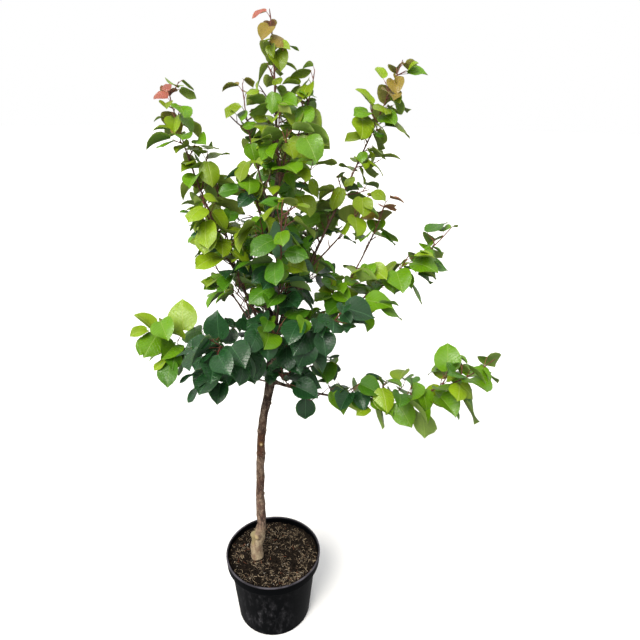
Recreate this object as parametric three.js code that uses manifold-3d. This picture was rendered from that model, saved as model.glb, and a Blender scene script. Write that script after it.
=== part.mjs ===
// A young Klosterneuburger apricot tree in a ten litre nursery pot.
// Millimetres, +Z up. The origin is the centre of the pot's flat underside, and the front faces -Y.
import * as THREE from "three";
import { mergeVertices } from "three/addons/utils/BufferGeometryUtils.js";
import Module from "manifold-3d";

const wasm = await Module();
wasm.setup();

// The clearance between pieces that touch on the real plant
const gap = 0.3;
// Edges shorter than this are drawn together
const shortest = 0.05;

const pot = {
  rimRadius: 140, height: 227, bandHeight: 29, lip: 4, lipReach: 2,
  baseRadius: 108.5, shoulderRadius: 126, shoulderDrop: 12,
  wall: 2.4, floor: 3, baseRounding: 5, segments: 30,
  drainHoles: 6, drainRadius: 7, drainCircle: 84, drainSides: 6,
};

const soil = {
  level: 205, lump: 3.4, rings: 4, flatRadius: 27,
  wallClearance: 0.6, edgeRise: 2, shoulderRise: 0.6, footInset: 2,
};

// Stations up the trunk: height, place across, place in depth, radius
const trunkStations = [
  [205.3, -48, 0, 18.5], [225, -48.5, 1, 16.8], [248, -49.5, 2, 16.8], [276, -41, 3, 16.2],
  [302, -37, 3.5, 14.2], [328, -32, 4, 12], [350, -32.5, 5, 12], [392, -32.7, 6.5, 12.3], [440, -34, 7.5, 10.7],
  [490, -31, 8, 11.4], [530, -30.6, 7, 10], [570, -27.5, 6, 11.2], [607, -26.2, 5, 10.1], [650, -23, 2, 10.7],
  [705, -15, -1, 9.7], [782, 0, -4, 11.2], [850, 8, -3, 13.2], [925, 18, 0, 11.6], [952, 18, 2, 9.6], [985, 8, 4, 7.4],
  [1015, -4, 4, 6.8], [1080, -5, 1, 6.2], [1150, 1, -4, 5.6], [1235, 16, -5, 4.9], [1335, 34, 0, 4.1],
];
const trunk = { sides: 8, steps: 32 };
const boughSides = 6;
const boughTipShare = 0.6;
// What is left of the rootstock's own stem above the graft, cut at a slant on the left
const stub = {
  height: 240, heading: -90, rise: [88, 84, 58], length: 61, radius: 15.5, taper: 0.075, reach: -1, steps: 3,
};
const knotShape = { sides: 6, rings: 4, stretch: 1.3, sunk: 1.5 };
const knots = [
  { height: 304, heading: -115, radius: 6 }, { height: 430, heading: 60, radius: 5.2 },
  { height: 607, heading: 178, radius: 5.6 }, { height: 952, heading: 95, radius: 7.5 },
];

// Headings are compass-like: 0 points away from the front, 90 to the right, 180 to the front.
// rise holds the angle above level at a limb's foot, middle and tip; bare is the part before its mass;
// sides are the further masses round a bough's end: turn from its heading, rise, length.
const boughs = [
  { name: "left_high", height: 881, heading: -79, swing: -2, rise: [69, 69, 80], length: 655,
    bare: 0.38, radius: 5.4, sides: [[-42, 61, 200], [46, 59, 245]] },
  { name: "left_low", height: 826, heading: -104, swing: 10, rise: [58, 12, 48], length: 322,
    bare: 0.3, radius: 4.6, sides: [[-34, -4, 150], [40, 30, 135]] },
  { name: "right_high", height: 913, heading: 73, swing: 3, rise: [66, 63, 68], length: 725,
    bare: 0.32, radius: 5.8, sides: [[20, 46, 240]] },
  { name: "right_mid", height: 876, heading: 88, swing: -4, rise: [39, 31, 51], length: 548,
    bare: 0.27, radius: 5.2, sides: [[-4, 57, 335], [40, 25, 200]] },
  { name: "right_low", height: 806, heading: 107, swing: 5, rise: [-15, 12, 50], length: 590,
    bare: 0.2, radius: 5, sides: [] },
  { name: "front_high", height: 905, heading: 172, swing: 6, rise: [58, 62, 76], length: 430,
    bare: 0.36, radius: 4.8, sides: [] },
  { name: "front_left", height: 836, heading: -156, swing: 8, rise: [38, 35, 42], length: 330,
    bare: 0.36, radius: 4.4, sides: [] },
  { name: "front_right", height: 862, heading: 144, swing: -6, rise: [40, 38, 52], length: 320,
    bare: 0.38, radius: 4.6, sides: [[60, 36, 150]] },
  { name: "back_high", height: 926, heading: 8, swing: 6, rise: [64, 62, 78], length: 560,
    bare: 0.4, radius: 5.4, sides: [[-50, 56, 170]] },
  { name: "back_low", height: 828, heading: -8, swing: 8, rise: [42, 32, 56], length: 410,
    bare: 0.36, radius: 4.8, sides: [[44, 26, 150]] },
  { name: "back_left", height: 868, heading: -46, swing: 4, rise: [52, 43, 64], length: 385,
    bare: 0.38, radius: 4.8, sides: [[30, 46, 150]] },
  { name: "back_right", height: 890, heading: 25, swing: 4, rise: [58, 42, 50], length: 430,
    bare: 0.38, radius: 5, sides: [[42, 24, 120]] },
];

// Masses that stand on the trunk itself: name, height, heading, rise, length
const trunkMasses = [
  ["inner_1", 800, -84, 14, 150], ["inner_2", 812, 88, 16, 155], ["inner_3", 840, 152, 2, 140],
  ["inner_4", 966, -130, 40, 150], ["inner_5", 1010, 106, 34, 170], ["inner_6", 1070, -36, 42, 160],
  ["inner_7", 1120, 175, 44, 170], ["inner_8", 1160, 60, 52, 220], ["inner_9", 1190, -140, 64, 180],
  ["upper_left", 1236, -48, 66, 290], ["upper_front", 1262, 148, 60, 180], ["upper_right", 1280, 68, 65, 275],
  ["upper_back", 1310, 0, 60, 190],
];
const topMass = { name: "top", heading: -60, swing: 30, rise: [86, 88, 80], length: 320, sunk: 4 };
// A mass's lift is added to its rise at its foot, middle and tip
const sideMass = { root: 18, rootStep: 15, swingShare: 0.25, lift: [0, 5, 18] };
const innerMass = { swing: 20, lift: [0, 4, 16] };

// Shoots are three-sided, and their radii are those of their corners
const stem = { radius: 3.4, tipRadius: 2, sides: 3, step: 42 };
// Every few nodes of a stem bear a side twig
const twig = {
  every: 5, lastNodes: 2, radius: 2, tipRadius: 1.7, length: 84, shortest: 0.65, lengthPlay: 0.6,
  shortening: 0.35, spread: 50, spreadPlay: 20, overShare: 0.8, lift: 14, steps: 2, limbClearance: 5,
};
// Every node bears a leaf, a turn on from the one before
const nodes = {
  first: 18, firstShare: 0.45, internode: 26, turn: 137.5, shootTurn: 70, fewest: 2, lastInset: 1.5,
};

// The blade's length by height, and how it falls off towards a shoot's tip
const leafSize = {
  low: 92, high: 74, lowHeight: 800, highHeight: 1560, least: 0.82, play: 0.3,
  twigShare: 0.9, youngFrom: 0.7, youngPower: 1.5, youngest: 0.45,
};
// The blade's outline in shares of its length, and the petiole's radius and depths
const leafShape = {
  petiole: 0.38, petioleRadius: 0.8, rootDepth: 1.3, neckDepth: 2.6,
  shoulder: 0.27, shoulderWidth: 0.42, waist: 0.63, waistWidth: 0.36,
  arch: 0.02, waistDrop: 0.01, tipDrop: 0.08,
};
// Petioles lean forward, outward and up; blades droop from them, more so low down and less at a shoot's tip
const leafHang = {
  forward: 0.75, tipForward: 1.6, outward: 0.95, upward: 0.12, lowest: -0.35, tipPower: 4,
  leastDroop: -22, mostDroop: 52, lowFrom: 1000, lowDroop: 12, tipDroop: 0.4, headingPlay: 60, rollPlay: 70,
};
// A leaf that finds no room is tried again: turned, lifted and made smaller
const leafRoom = {
  discAt: 0.44, discRadius: 0.4, clearance: 3, limbClearance: 3, spaceSlack: 22,
  reach: 1.45, petioleFrom: 0.3, attempts: 6, turn: 77, lift: 20, shrink: 0.06,
};

const bark = { color: 0x75695a, roughness: 0.88, metalness: 0 };
const foliage = { color: 0x4f7f2c, roughness: 0.55, metalness: 0 };

const degrees = Math.PI / 180;
const up = new THREE.Vector3(0, 0, 1);

// A repeatable stream of numbers from 0 to 1
function numbersFrom(seed) {
  let state = (seed * 7919 + 12345) >>> 0;
  const next = () => {
    state = (Math.imul(state, 1664525) + 1013904223) >>> 0;
    return state / 4294967296;
  };
  next();
  next();
  return next;
}

const mix = (a, b, t) => a + (b - a) * t;

// The unit vector at a heading and a rise, both in degrees
function aim(heading, rise) {
  const flat = Math.cos(rise * degrees);
  return new THREE.Vector3(
    flat * Math.sin(heading * degrees), flat * Math.cos(heading * degrees), Math.sin(rise * degrees));
}

// A growing path: its rise passes through three values and its heading swings evenly
function growPath(start, heading, swing, rise, length, steps) {
  const points = [start.clone()];
  for (let i = 0; i < steps; i += 1) {
    const t = (i + 0.5) / steps;
    const angle = rise[0] * (1 - t) * (1 - 2 * t) + rise[1] * 4 * t * (1 - t) + rise[2] * t * (2 * t - 1);
    const step = aim(heading + swing * t, angle).multiplyScalar(length / steps);
    points.push(points[i].clone().add(step));
  }
  return points;
}

// The point and direction at a distance along a path
function along(points, distance) {
  let left = distance;
  for (let i = 1; i < points.length; i += 1) {
    const span = points[i].distanceTo(points[i - 1]);
    if (left <= span || i === points.length - 1) {
      const direction = points[i].clone().sub(points[i - 1]).normalize();
      return { point: points[i - 1].clone().addScaledVector(direction, left), direction };
    }
    left -= span;
  }
  return null;
}

function pathLength(points) {
  let total = 0;
  for (let i = 1; i < points.length; i += 1) {
    total += points[i].distanceTo(points[i - 1]);
  }
  return total;
}

function meshSolid(geometry) {
  const bare = geometry.clone();
  bare.deleteAttribute("normal");
  bare.deleteAttribute("uv");
  const merged = mergeVertices(bare, 1e-4);
  return new wasm.Manifold(new wasm.Mesh({
    numProp: 3,
    vertProperties: new Float32Array(merged.attributes.position.array),
    triVerts: new Uint32Array(merged.index.array),
  }));
}

function solidFrom(points, faces) {
  const vertProperties = new Float32Array(points.flatMap((point) => [point.x, point.y, point.z]));
  const triVerts = new Uint32Array(faces.flat());
  return new wasm.Manifold(new wasm.Mesh({ numProp: 3, vertProperties, triVerts }));
}

function geometryOf(solid) {
  const { vertProperties, triVerts } = solid.getMesh();
  const geometry = new THREE.BufferGeometry();
  geometry.setAttribute("position", new THREE.BufferAttribute(vertProperties, 3));
  geometry.setIndex(new THREE.BufferAttribute(triVerts, 1));
  geometry.computeVertexNormals();
  return geometry;
}

// The largest body of a solid, so that a loose scrap is dropped
function mainBody(solid) {
  return solid.asOriginal().simplify(shortest).decompose().sort((a, b) => b.volume() - a.volume())[0];
}

// A closed body through rings of corners, which run anticlockwise as seen from its end
function loft(rings) {
  const sides = rings[0].length;
  const last = (rings.length - 1) * sides;
  const faces = [];
  for (let i = 1; i < rings.length; i += 1) {
    for (let k = 0; k < sides; k += 1) {
      const a = (i - 1) * sides + k;
      const b = (i - 1) * sides + (k + 1) % sides;
      faces.push([a, b, b + sides], [a, b + sides, a + sides]);
    }
  }
  for (let k = 1; k < sides - 1; k += 1) {
    faces.push([0, k + 1, k], [last, last + k, last + k + 1]);
  }
  return solidFrom(rings.flat(), faces);
}

// A closed tube through points, with a radius for each and flat ends
function limbSolid(points, radii, sides) {
  let across = new THREE.Vector3(1, 0, 0);
  const rings = points.map((point, i) => {
    const before = points[Math.max(i - 1, 0)];
    const after = points[Math.min(i + 1, points.length - 1)];
    const direction = after.clone().sub(before).normalize();
    across = across.clone().addScaledVector(direction, -across.dot(direction)).normalize();
    const third = direction.clone().cross(across);
    return Array.from({ length: sides }, (_, k) => {
      const angle = 2 * Math.PI * k / sides;
      return point.clone()
        .addScaledVector(across, radii[i] * Math.cos(angle))
        .addScaledVector(third, radii[i] * Math.sin(angle));
    });
  });
  return loft(rings);
}

const trunkCurve = new THREE.CatmullRomCurve3(
  trunkStations.map(([height, x, y]) => new THREE.Vector3(x, y, height)), false, "centripetal");

function stationValue(height, column) {
  const above = trunkStations.findIndex((station) => station[0] >= height);
  const next = above < 0 ? trunkStations.length - 1 : Math.max(above, 1);
  const [low, high] = [trunkStations[next - 1], trunkStations[next]];
  return mix(low[column], high[column], (height - low[0]) / (high[0] - low[0]));
}

// The trunk's axis at a height
function trunkAt(height) {
  return new THREE.Vector3(stationValue(height, 1), stationValue(height, 2), height);
}

// The trunk's axis and radii, no lower than its flat foot
function trunkPath() {
  const points = trunkCurve.getPoints(trunk.steps);
  points.forEach((point) => point.set(point.x, point.y, Math.max(point.z, trunkStations[0][0])));
  const radii = points.map((point) => stationValue(point.z, 3));
  return { points, radii };
}

function potSolid() {
  const inner = pot.wall;
  const bandFoot = pot.height - pot.bandHeight;
  const shoulder = bandFoot - pot.shoulderDrop;
  const profile = [
    [0, 0], [pot.baseRadius - pot.baseRounding, 0], [pot.baseRadius, pot.baseRounding],
    [pot.shoulderRadius, shoulder], [pot.rimRadius - pot.lipReach, bandFoot],
    [pot.rimRadius - pot.lipReach, pot.height - pot.lip], [pot.rimRadius, pot.height - pot.lip],
    [pot.rimRadius, pot.height], [pot.rimRadius - pot.lipReach - inner, pot.height],
    [pot.rimRadius - pot.lipReach - inner, bandFoot + 1], [pot.shoulderRadius - inner, shoulder],
    [pot.baseRadius - inner - 1, pot.floor], [0, pot.floor],
  ].map(([radius, height]) => new THREE.Vector2(radius, height));
  const lathe = new THREE.LatheGeometry(profile, pot.segments);
  lathe.rotateX(Math.PI / 2);
  let shell = meshSolid(lathe);
  for (let i = 0; i < pot.drainHoles; i += 1) {
    const angle = (i + 0.5) * 2 * Math.PI / pot.drainHoles;
    const hole = new THREE.CylinderGeometry(pot.drainRadius, pot.drainRadius, 4 * pot.floor, pot.drainSides);
    hole.rotateX(Math.PI / 2);
    hole.translate(pot.drainCircle * Math.cos(angle), pot.drainCircle * Math.sin(angle), 0);
    shell = shell.subtract(meshSolid(hole));
  }
  return shell;
}

// The height of the soil's surface, level under the trunk's foot
function soilHeight(x, y) {
  const [, footX, footY] = trunkStations[0];
  const away = Math.hypot(x - footX, y - footY) - soil.flatRadius;
  const share = Math.min(Math.max(away / soil.flatRadius, 0), 1);
  const waves = Math.sin(x / 13 + 1.3) * Math.cos(y / 17) + 0.6 * Math.sin(x / 29 - y / 23);
  return soil.level + soil.lump * share * waves;
}

// The soil's corners stand at the pot's own angles
function soilSolid() {
  const inner = pot.wall + soil.wallClearance;
  const bandFoot = pot.height - pot.bandHeight;
  const edge = pot.rimRadius - pot.lipReach - inner;
  const side = [
    [edge, bandFoot + soil.edgeRise],
    [pot.shoulderRadius - inner, bandFoot - pot.shoulderDrop + soil.shoulderRise],
    [pot.baseRadius - inner - soil.footInset, pot.floor + gap],
  ];
  const points = [new THREE.Vector3(0, 0, soilHeight(0, 0))];
  const faces = [];
  const ring = (radius, height) => {
    for (let k = 0; k < pot.segments; k += 1) {
      const angle = 2 * Math.PI * k / pot.segments;
      const x = radius * Math.sin(angle);
      const y = -radius * Math.cos(angle);
      points.push(new THREE.Vector3(x, y, height ?? soilHeight(x, y)));
    }
  };
  for (let i = 1; i <= soil.rings; i += 1) {
    ring(edge * i / soil.rings);
  }
  side.forEach(([radius, height]) => ring(radius, height));
  points.push(new THREE.Vector3(0, 0, side.at(-1)[1]));
  const total = soil.rings + side.length;
  const last = points.length - 1;
  for (let k = 0; k < pot.segments; k += 1) {
    const next = (k + 1) % pot.segments;
    faces.push([0, 1 + k, 1 + next]);
    for (let i = 0; i < total - 1; i += 1) {
      const a = 1 + i * pot.segments;
      const b = a + pot.segments;
      faces.push([a + k, b + k, b + next], [a + k, b + next, a + next]);
    }
    const a = 1 + (total - 1) * pot.segments;
    faces.push([a + k, last, a + next]);
  }
  return solidFrom(points, faces);
}

// The trunk with its cut stub and knots, grown outwards by a margin
function trunkSolid(margin) {
  const { points, radii } = trunkPath();
  let solid = limbSolid(points, radii.map((radius) => radius + margin), trunk.sides);
  const foot = trunkAt(stub.height).add(new THREE.Vector3(stub.reach, 0, 0));
  const stubPoints = growPath(foot, stub.heading, 0, stub.rise, stub.length, stub.steps);
  const stubRadii = stubPoints.map((_, i) => stub.radius * (1 - stub.taper * i) + margin);
  solid = solid.add(limbSolid(stubPoints, stubRadii, trunk.sides));
  for (const knot of knots) {
    const ball = new THREE.SphereGeometry(knot.radius + margin, knotShape.sides, knotShape.rings);
    ball.rotateX(Math.PI / 2);
    ball.scale(1, 1, knotShape.stretch);
    const depth = stationValue(knot.height, 3) - knotShape.sunk;
    const place = trunkAt(knot.height).addScaledVector(aim(knot.heading, 0), depth);
    ball.translate(place.x, place.y, place.z);
    solid = solid.add(meshSolid(ball));
  }
  const [level, footX] = trunkStations[0];
  const ground = new THREE.BoxGeometry(pot.rimRadius, pot.rimRadius, level);
  ground.translate(footX, 0, level / 2);
  return mainBody(solid.subtract(meshSolid(ground)));
}

// Each bough's whole axis: its bare foot is the limb, and its end is the stem of its mass
function boughPaths(bough) {
  const steps = Math.round(bough.length / stem.step);
  const path = growPath(trunkAt(bough.height), bough.heading, bough.swing, bough.rise, bough.length, steps);
  const bareSteps = Math.round(steps * bough.bare);
  return { bare: path.slice(0, bareSteps + 1), leafy: path.slice(bareSteps) };
}

const taper = (points, foot, tip) => points.map((_, i) => mix(foot, tip, i / (points.length - 1)));

// Every limb with its axis and radii, and every mass with its stem's axis
const limbs = [{ name: "trunk", ...trunkPath() }];
const masses = [];

function growMass(name, limb, start, heading, swing, rise, lift, length) {
  const rises = lift.map((more) => rise + more);
  const axis = growPath(start, heading, swing, rises, length, Math.round(length / stem.step));
  masses.push({ name, limb, axis });
}

for (const bough of boughs) {
  const { bare, leafy } = boughPaths(bough);
  const radii = taper(bare, bough.radius, bough.radius * boughTipShare);
  const limb = limbs.length;
  limbs.push({ name: `bough_${bough.name}`, points: bare, radii });
  masses.push({ name: `leaves_${bough.name}`, limb, axis: leafy });
  bough.sides.forEach(([turn, rise, length], i) => {
    const { point } = along(bare, pathLength(bare) - sideMass.root - sideMass.rootStep * i);
    const heading = bough.heading + turn;
    const swing = turn * sideMass.swingShare;
    growMass(`leaves_${bough.name}_${i + 2}`, limb, point, heading, swing, rise, sideMass.lift, length);
  });
}
for (const [name, height, heading, rise, length] of trunkMasses) {
  growMass(`leaves_${name}`, 0, trunkAt(height), heading, innerMass.swing, rise, innerMass.lift, length);
}
const topStart = trunkAt(trunkStations.at(-1)[0] - topMass.sunk);
const topSteps = Math.round(topMass.length / stem.step);
masses.push({
  name: `leaves_${topMass.name}`, limb: 0,
  axis: growPath(topStart, topMass.heading, topMass.swing, topMass.rise, topMass.length, topSteps),
});

// Whether a point keeps clear of every limb
function clearOfLimbs(point, clearance) {
  return limbs.every(({ points, radii }) => points.every((end, i) => {
    if (i === 0) {
      return true;
    }
    const start = points[i - 1];
    const span = end.clone().sub(start);
    const share = Math.min(Math.max(point.clone().sub(start).dot(span) / span.lengthSq(), 0), 1);
    const distance = point.distanceTo(start.clone().addScaledVector(span, share));
    return distance > mix(radii[i - 1], radii[i], share) + clearance;
  }));
}

// Whether a point lies in a mass's own space: nearer to its shoots than to others, give or take the slack
function inOwnSpace(point, index, skeletons) {
  const distances = skeletons.map((places) => Math.min(...places.map((place) => point.distanceTo(place))));
  const own = distances[index];
  return distances.every((distance, mass) => mass === index || own < distance + leafRoom.spaceSlack);
}

// Two directions square to a shoot, the first as level as it can be
function frameOf(direction) {
  const helper = Math.abs(direction.z) > 0.95 ? new THREE.Vector3(0, 1, 0) : up;
  const level = direction.clone().cross(helper).normalize();
  return [level, level.clone().cross(direction)];
}

// Stems carry side twigs by rule; a twig that leaves its mass's space or nears a limb is skipped
function growTwigs(mass, index, skeletons) {
  const random = numbersFrom(index + 1);
  const count = Math.floor((pathLength(mass.axis) - nodes.first) / nodes.internode);
  mass.shoots = [{ points: mass.axis, foot: stem.radius, tip: stem.tipRadius, isStem: true }];
  mass.turn = random() * 360;
  for (let i = 1; i < count - twig.lastNodes; i += twig.every) {
    const { point, direction } = along(mass.axis, nodes.first + (i + 0.5) * nodes.internode);
    const angle = (mass.turn + (i + 0.5) * nodes.turn) * degrees;
    const [level, over] = frameOf(direction);
    const out = level.multiplyScalar(Math.cos(angle))
      .addScaledVector(over, Math.abs(Math.sin(angle)) * twig.overShare);
    const spread = (twig.spread + twig.spreadPlay * (random() - 0.5)) * degrees;
    const course = direction.clone().multiplyScalar(Math.cos(spread)).addScaledVector(out, Math.sin(spread));
    const play = twig.shortest + twig.lengthPlay * random();
    const length = twig.length * play * (1 - twig.shortening * i / count);
    const heading = Math.atan2(course.x, course.y) / degrees;
    const rise = Math.asin(course.z / course.length()) / degrees;
    const rises = [rise, rise + twig.lift / 2, rise + twig.lift];
    const points = growPath(point, heading, 0, rises, length, twig.steps);
    const fits = points.slice(1).every((place) => inOwnSpace(place, index, skeletons)
      && clearOfLimbs(place, twig.limbClearance));
    if (fits) {
      mass.shoots.push({ points, foot: twig.radius, tip: twig.tipRadius, isStem: false });
    }
  }
}

// A leaf's places: its petiole, its outline, and the disc that stands for it where room is looked for
function shapeLeaf(node, petioleAim, bladeAim, roll, length) {
  const neck = node.clone().addScaledVector(petioleAim, leafShape.petiole * length);
  const side = bladeAim.clone().cross(up).normalize();
  const normal = side.clone().cross(bladeAim).normalize();
  side.applyAxisAngle(bladeAim, roll);
  normal.applyAxisAngle(bladeAim, roll);
  const place = (forward, across, lift) => neck.clone()
    .addScaledVector(bladeAim, forward * length)
    .addScaledVector(side, across * length)
    .addScaledVector(normal, lift * length);
  const { shoulder, shoulderWidth, waist, waistWidth, arch, waistDrop, tipDrop } = leafShape;
  return {
    node, neck, petioleAim, side, normal,
    outline: [
      neck, place(shoulder, shoulderWidth, arch), place(waist, waistWidth, -waistDrop), place(1, 0, -tipDrop),
      place(waist, -waistWidth, -waistDrop), place(shoulder, -shoulderWidth, arch),
    ],
    centre: place(leafRoom.discAt, 0, 0),
    radius: leafRoom.discRadius * length,
  };
}

// The blade's edge from the neck round to the neck, and its midrib
function linesOf({ outline }) {
  return [...outline, outline[0], outline[3]];
}

// Whether the line from a to b comes too near to a blade's disc
function meetsDisc(a, b, blade) {
  const heightA = a.clone().sub(blade.centre).dot(blade.normal);
  const heightB = b.clone().sub(blade.centre).dot(blade.normal);
  const sameSide = heightA * heightB > 0;
  if (sameSide && Math.min(Math.abs(heightA), Math.abs(heightB)) > leafRoom.clearance) {
    return false;
  }
  const nearer = Math.abs(heightA) < Math.abs(heightB) ? 0 : 1;
  const share = sameSide ? nearer : heightA / (heightA - heightB || 1);
  return a.clone().lerp(b, share).distanceTo(blade.centre) < blade.radius + leafRoom.clearance;
}

function meetsBlade(points, blade) {
  return points.some((point, i) => i > 0 && meetsDisc(points[i - 1], point, blade));
}

function bladesMeet(one, other) {
  if (one.centre.distanceTo(other.centre) > leafRoom.reach * (one.radius + other.radius)) {
    return false;
  }
  return [[one, other], [other, one]].some(([first, second]) => meetsBlade(linesOf(first), second)
    || meetsDisc(first.node.clone().lerp(first.neck, leafRoom.petioleFrom), first.neck, second));
}

function leafFits(blade, index, skeletons, placed) {
  const petioleMiddle = blade.node.clone().lerp(blade.neck, 0.5);
  const inPlace = blade.outline.every((place) => inOwnSpace(place, index, skeletons)
    && clearOfLimbs(place, leafRoom.limbClearance));
  return inPlace && clearOfLimbs(petioleMiddle, leafRoom.limbClearance)
    && !limbs.some(({ points }) => meetsBlade(points, blade))
    && !placed.some((other) => bladesMeet(blade, other))
    && !masses.some((mass) => mass.shoots.some(({ points }) => meetsBlade(points, blade)));
}

// The blade's length at a height, by its share of the way along its shoot
function bladeLength(height, share, isStem, chance) {
  const { low, high, lowHeight, highHeight, youngFrom, youngPower, youngest } = leafSize;
  const climb = Math.min(Math.max((height - lowHeight) / (highHeight - lowHeight), 0), 1);
  const young = mix(1, youngest, Math.max(0, (share - youngFrom) / (1 - youngFrom)) ** youngPower);
  const play = leafSize.least + leafSize.play * chance;
  return mix(low, high, climb) * play * young * (isStem ? 1 : leafSize.twigShare);
}

// The way a leaf's petiole points from its shoot
function petioleCourse(direction, turn, tipShare) {
  const [level, over] = frameOf(direction);
  const out = level.multiplyScalar(Math.cos(turn * degrees)).addScaledVector(over, Math.sin(turn * degrees));
  out.z = Math.max(out.z, leafHang.lowest);
  return direction.clone().multiplyScalar(mix(leafHang.forward, leafHang.tipForward, tipShare))
    .addScaledVector(out, leafHang.outward)
    .addScaledVector(up, leafHang.upward)
    .normalize();
}

// Leaves stand in a spiral on each shoot, with petioles rising outward and blades hanging from them
function growLeaves(mass, index, skeletons, placed) {
  const random = numbersFrom(index + 501);
  mass.leaves = [];
  mass.shoots.forEach((shoot, shootIndex) => {
    const length = pathLength(shoot.points);
    const first = shoot.isStem ? nodes.first : nodes.firstShare * nodes.internode;
    const count = Math.max(nodes.fewest, Math.round((length - first) / nodes.internode));
    for (let i = 0; i <= count; i += 1) {
      const share = i / count;
      const { point, direction } = along(shoot.points, mix(first, length - nodes.lastInset, share));
      const [sizeDraw, droopDraw, headingDraw, rollDraw] = [random(), random(), random(), random()];
      const size = bladeLength(point.z, share, shoot.isStem, sizeDraw);
      const tipShare = share ** leafHang.tipPower;
      const level = mix(1, leafHang.tipDroop, tipShare);
      const lowDroop = point.z < leafHang.lowFrom ? leafHang.lowDroop : 0;
      const hang = (mix(leafHang.leastDroop, leafHang.mostDroop, droopDraw) + lowDroop) * level;
      const roll = leafHang.rollPlay * (rollDraw - 0.5) * degrees;
      for (let attempt = 0; attempt < leafRoom.attempts; attempt += 1) {
        const turn = mass.turn + shootIndex * nodes.shootTurn + i * nodes.turn + attempt * leafRoom.turn;
        const petioleAim = petioleCourse(direction, turn, tipShare);
        const droop = hang - leafRoom.lift * (attempt % 2);
        const heading = Math.atan2(petioleAim.x, petioleAim.y) / degrees
          + leafHang.headingPlay * (headingDraw - 0.5);
        const tried = size * (1 - leafRoom.shrink * attempt);
        const blade = shapeLeaf(point, petioleAim, aim(heading, -droop), roll, tried);
        if (leafFits(blade, index, skeletons, placed)) {
          mass.leaves.push(blade);
          placed.push(blade);
          break;
        }
      }
    }
  });
}

// A leaf is a three-cornered petiole that runs on under the blade as its thickness
function leafSolid({ node, neck, petioleAim, side, normal, outline }) {
  const across = side.clone().addScaledVector(petioleAim, -side.dot(petioleAim)).normalize();
  const over = across.clone().cross(petioleAim);
  const ring = (centre, sideways, lift, depth) => [
    centre.clone().addScaledVector(sideways, leafShape.petioleRadius),
    centre.clone().addScaledVector(lift, -depth),
    centre.clone().addScaledVector(sideways, -leafShape.petioleRadius),
  ];
  const root = ring(node, across, over, leafShape.rootDepth);
  const corners = [...root, ...ring(neck, side, normal, leafShape.neckDepth), ...outline.slice(1)];
  const topFaces = [[2, 0, 3], [2, 3, 5], [5, 3, 6], [5, 6, 10], [10, 6, 7], [10, 7, 9], [9, 7, 8]];
  const petioleFaces = [[0, 2, 1], [3, 0, 1], [3, 1, 4], [1, 2, 5], [1, 5, 4]];
  const underFaces = [[6, 3, 4], [7, 6, 4], [8, 7, 4], [9, 8, 4], [10, 9, 4], [5, 10, 4]];
  return solidFrom(corners, [...topFaces, ...petioleFaces, ...underFaces]);
}

// A mass is its stem, twigs and leaves in one body, cut clear of the limb that carries it
function massSolid(mass, cutters) {
  const shoots = mass.shoots.map(
    ({ points, foot, tip }) => limbSolid(points, taper(points, foot, tip), stem.sides));
  const whole = wasm.Manifold.union([...shoots, ...mass.leaves.map(leafSolid)]);
  return mainBody(whole.subtract(cutters[0]).subtract(cutters[mass.limb]));
}

const axes = masses.map((mass) => mass.axis);
masses.forEach((mass, i) => growTwigs(mass, i, axes));
const skeletons = masses.map((mass) => mass.shoots.flatMap((shoot) => shoot.points));
const placed = [];
masses.forEach((mass, i) => growLeaves(mass, i, skeletons, placed));

const tree = new THREE.Group();

function addPiece(name, solid, look) {
  const piece = new THREE.Mesh(geometryOf(solid), new THREE.MeshStandardMaterial(look));
  piece.name = name;
  tree.add(piece);
}

addPiece("pot", potSolid(), { color: 0x17181a, roughness: 0.55, metalness: 0 });
addPiece("soil", soilSolid(), { color: 0x2c211a, roughness: 1, metalness: 0 });
addPiece("trunk", trunkSolid(0), bark);
const trunkCutter = trunkSolid(gap);
const cutters = limbs.map(({ points, radii }, i) => {
  if (i === 0) {
    return trunkCutter;
  }
  const beyond = points.at(-1).clone().sub(points.at(-2)).setLength(gap).add(points.at(-1));
  return limbSolid([...points, beyond], [...radii, radii.at(-1)].map((radius) => radius + gap), boughSides);
});
limbs.slice(1).forEach(({ name, points, radii }) => {
  addPiece(name, mainBody(limbSolid(points, radii, boughSides).subtract(trunkCutter)), bark);
});
masses.forEach((mass) => addPiece(mass.name, massSolid(mass, cutters), foliage));

export default tree;
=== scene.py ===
import math
from functools import cache
import bmesh
import bpy
import numpy as np
from mathutils import Matrix, Vector, noise


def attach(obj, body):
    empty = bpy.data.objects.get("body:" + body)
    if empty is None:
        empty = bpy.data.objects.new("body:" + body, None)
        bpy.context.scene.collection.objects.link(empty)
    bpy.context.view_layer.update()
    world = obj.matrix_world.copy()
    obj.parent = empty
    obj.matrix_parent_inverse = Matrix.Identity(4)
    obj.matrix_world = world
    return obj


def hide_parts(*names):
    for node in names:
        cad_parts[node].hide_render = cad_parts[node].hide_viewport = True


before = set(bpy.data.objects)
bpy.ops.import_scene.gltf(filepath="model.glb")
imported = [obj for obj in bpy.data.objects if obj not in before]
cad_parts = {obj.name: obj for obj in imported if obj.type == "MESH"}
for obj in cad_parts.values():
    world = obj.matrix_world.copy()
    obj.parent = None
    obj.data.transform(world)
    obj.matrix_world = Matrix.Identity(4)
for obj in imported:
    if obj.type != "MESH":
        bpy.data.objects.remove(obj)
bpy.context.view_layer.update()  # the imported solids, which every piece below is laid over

mm = 0.001  # the plant is measured in millimetres, and laid down in metres
massNodes = sorted(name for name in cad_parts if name.startswith("leaves_"))
boughNodes = sorted(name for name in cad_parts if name.startswith("bough_"))
camera = {"place": (0, -1.243, 1.485), "pitch": 22.4, "yaw": 6.0, "roll": 0.84, "lens": 30.375, "sensor": 36,
          "farthest": 200}


# Colours and nodes

noiseRange = (0.3, 0.7)  # where nearly all of a noise lies


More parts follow.
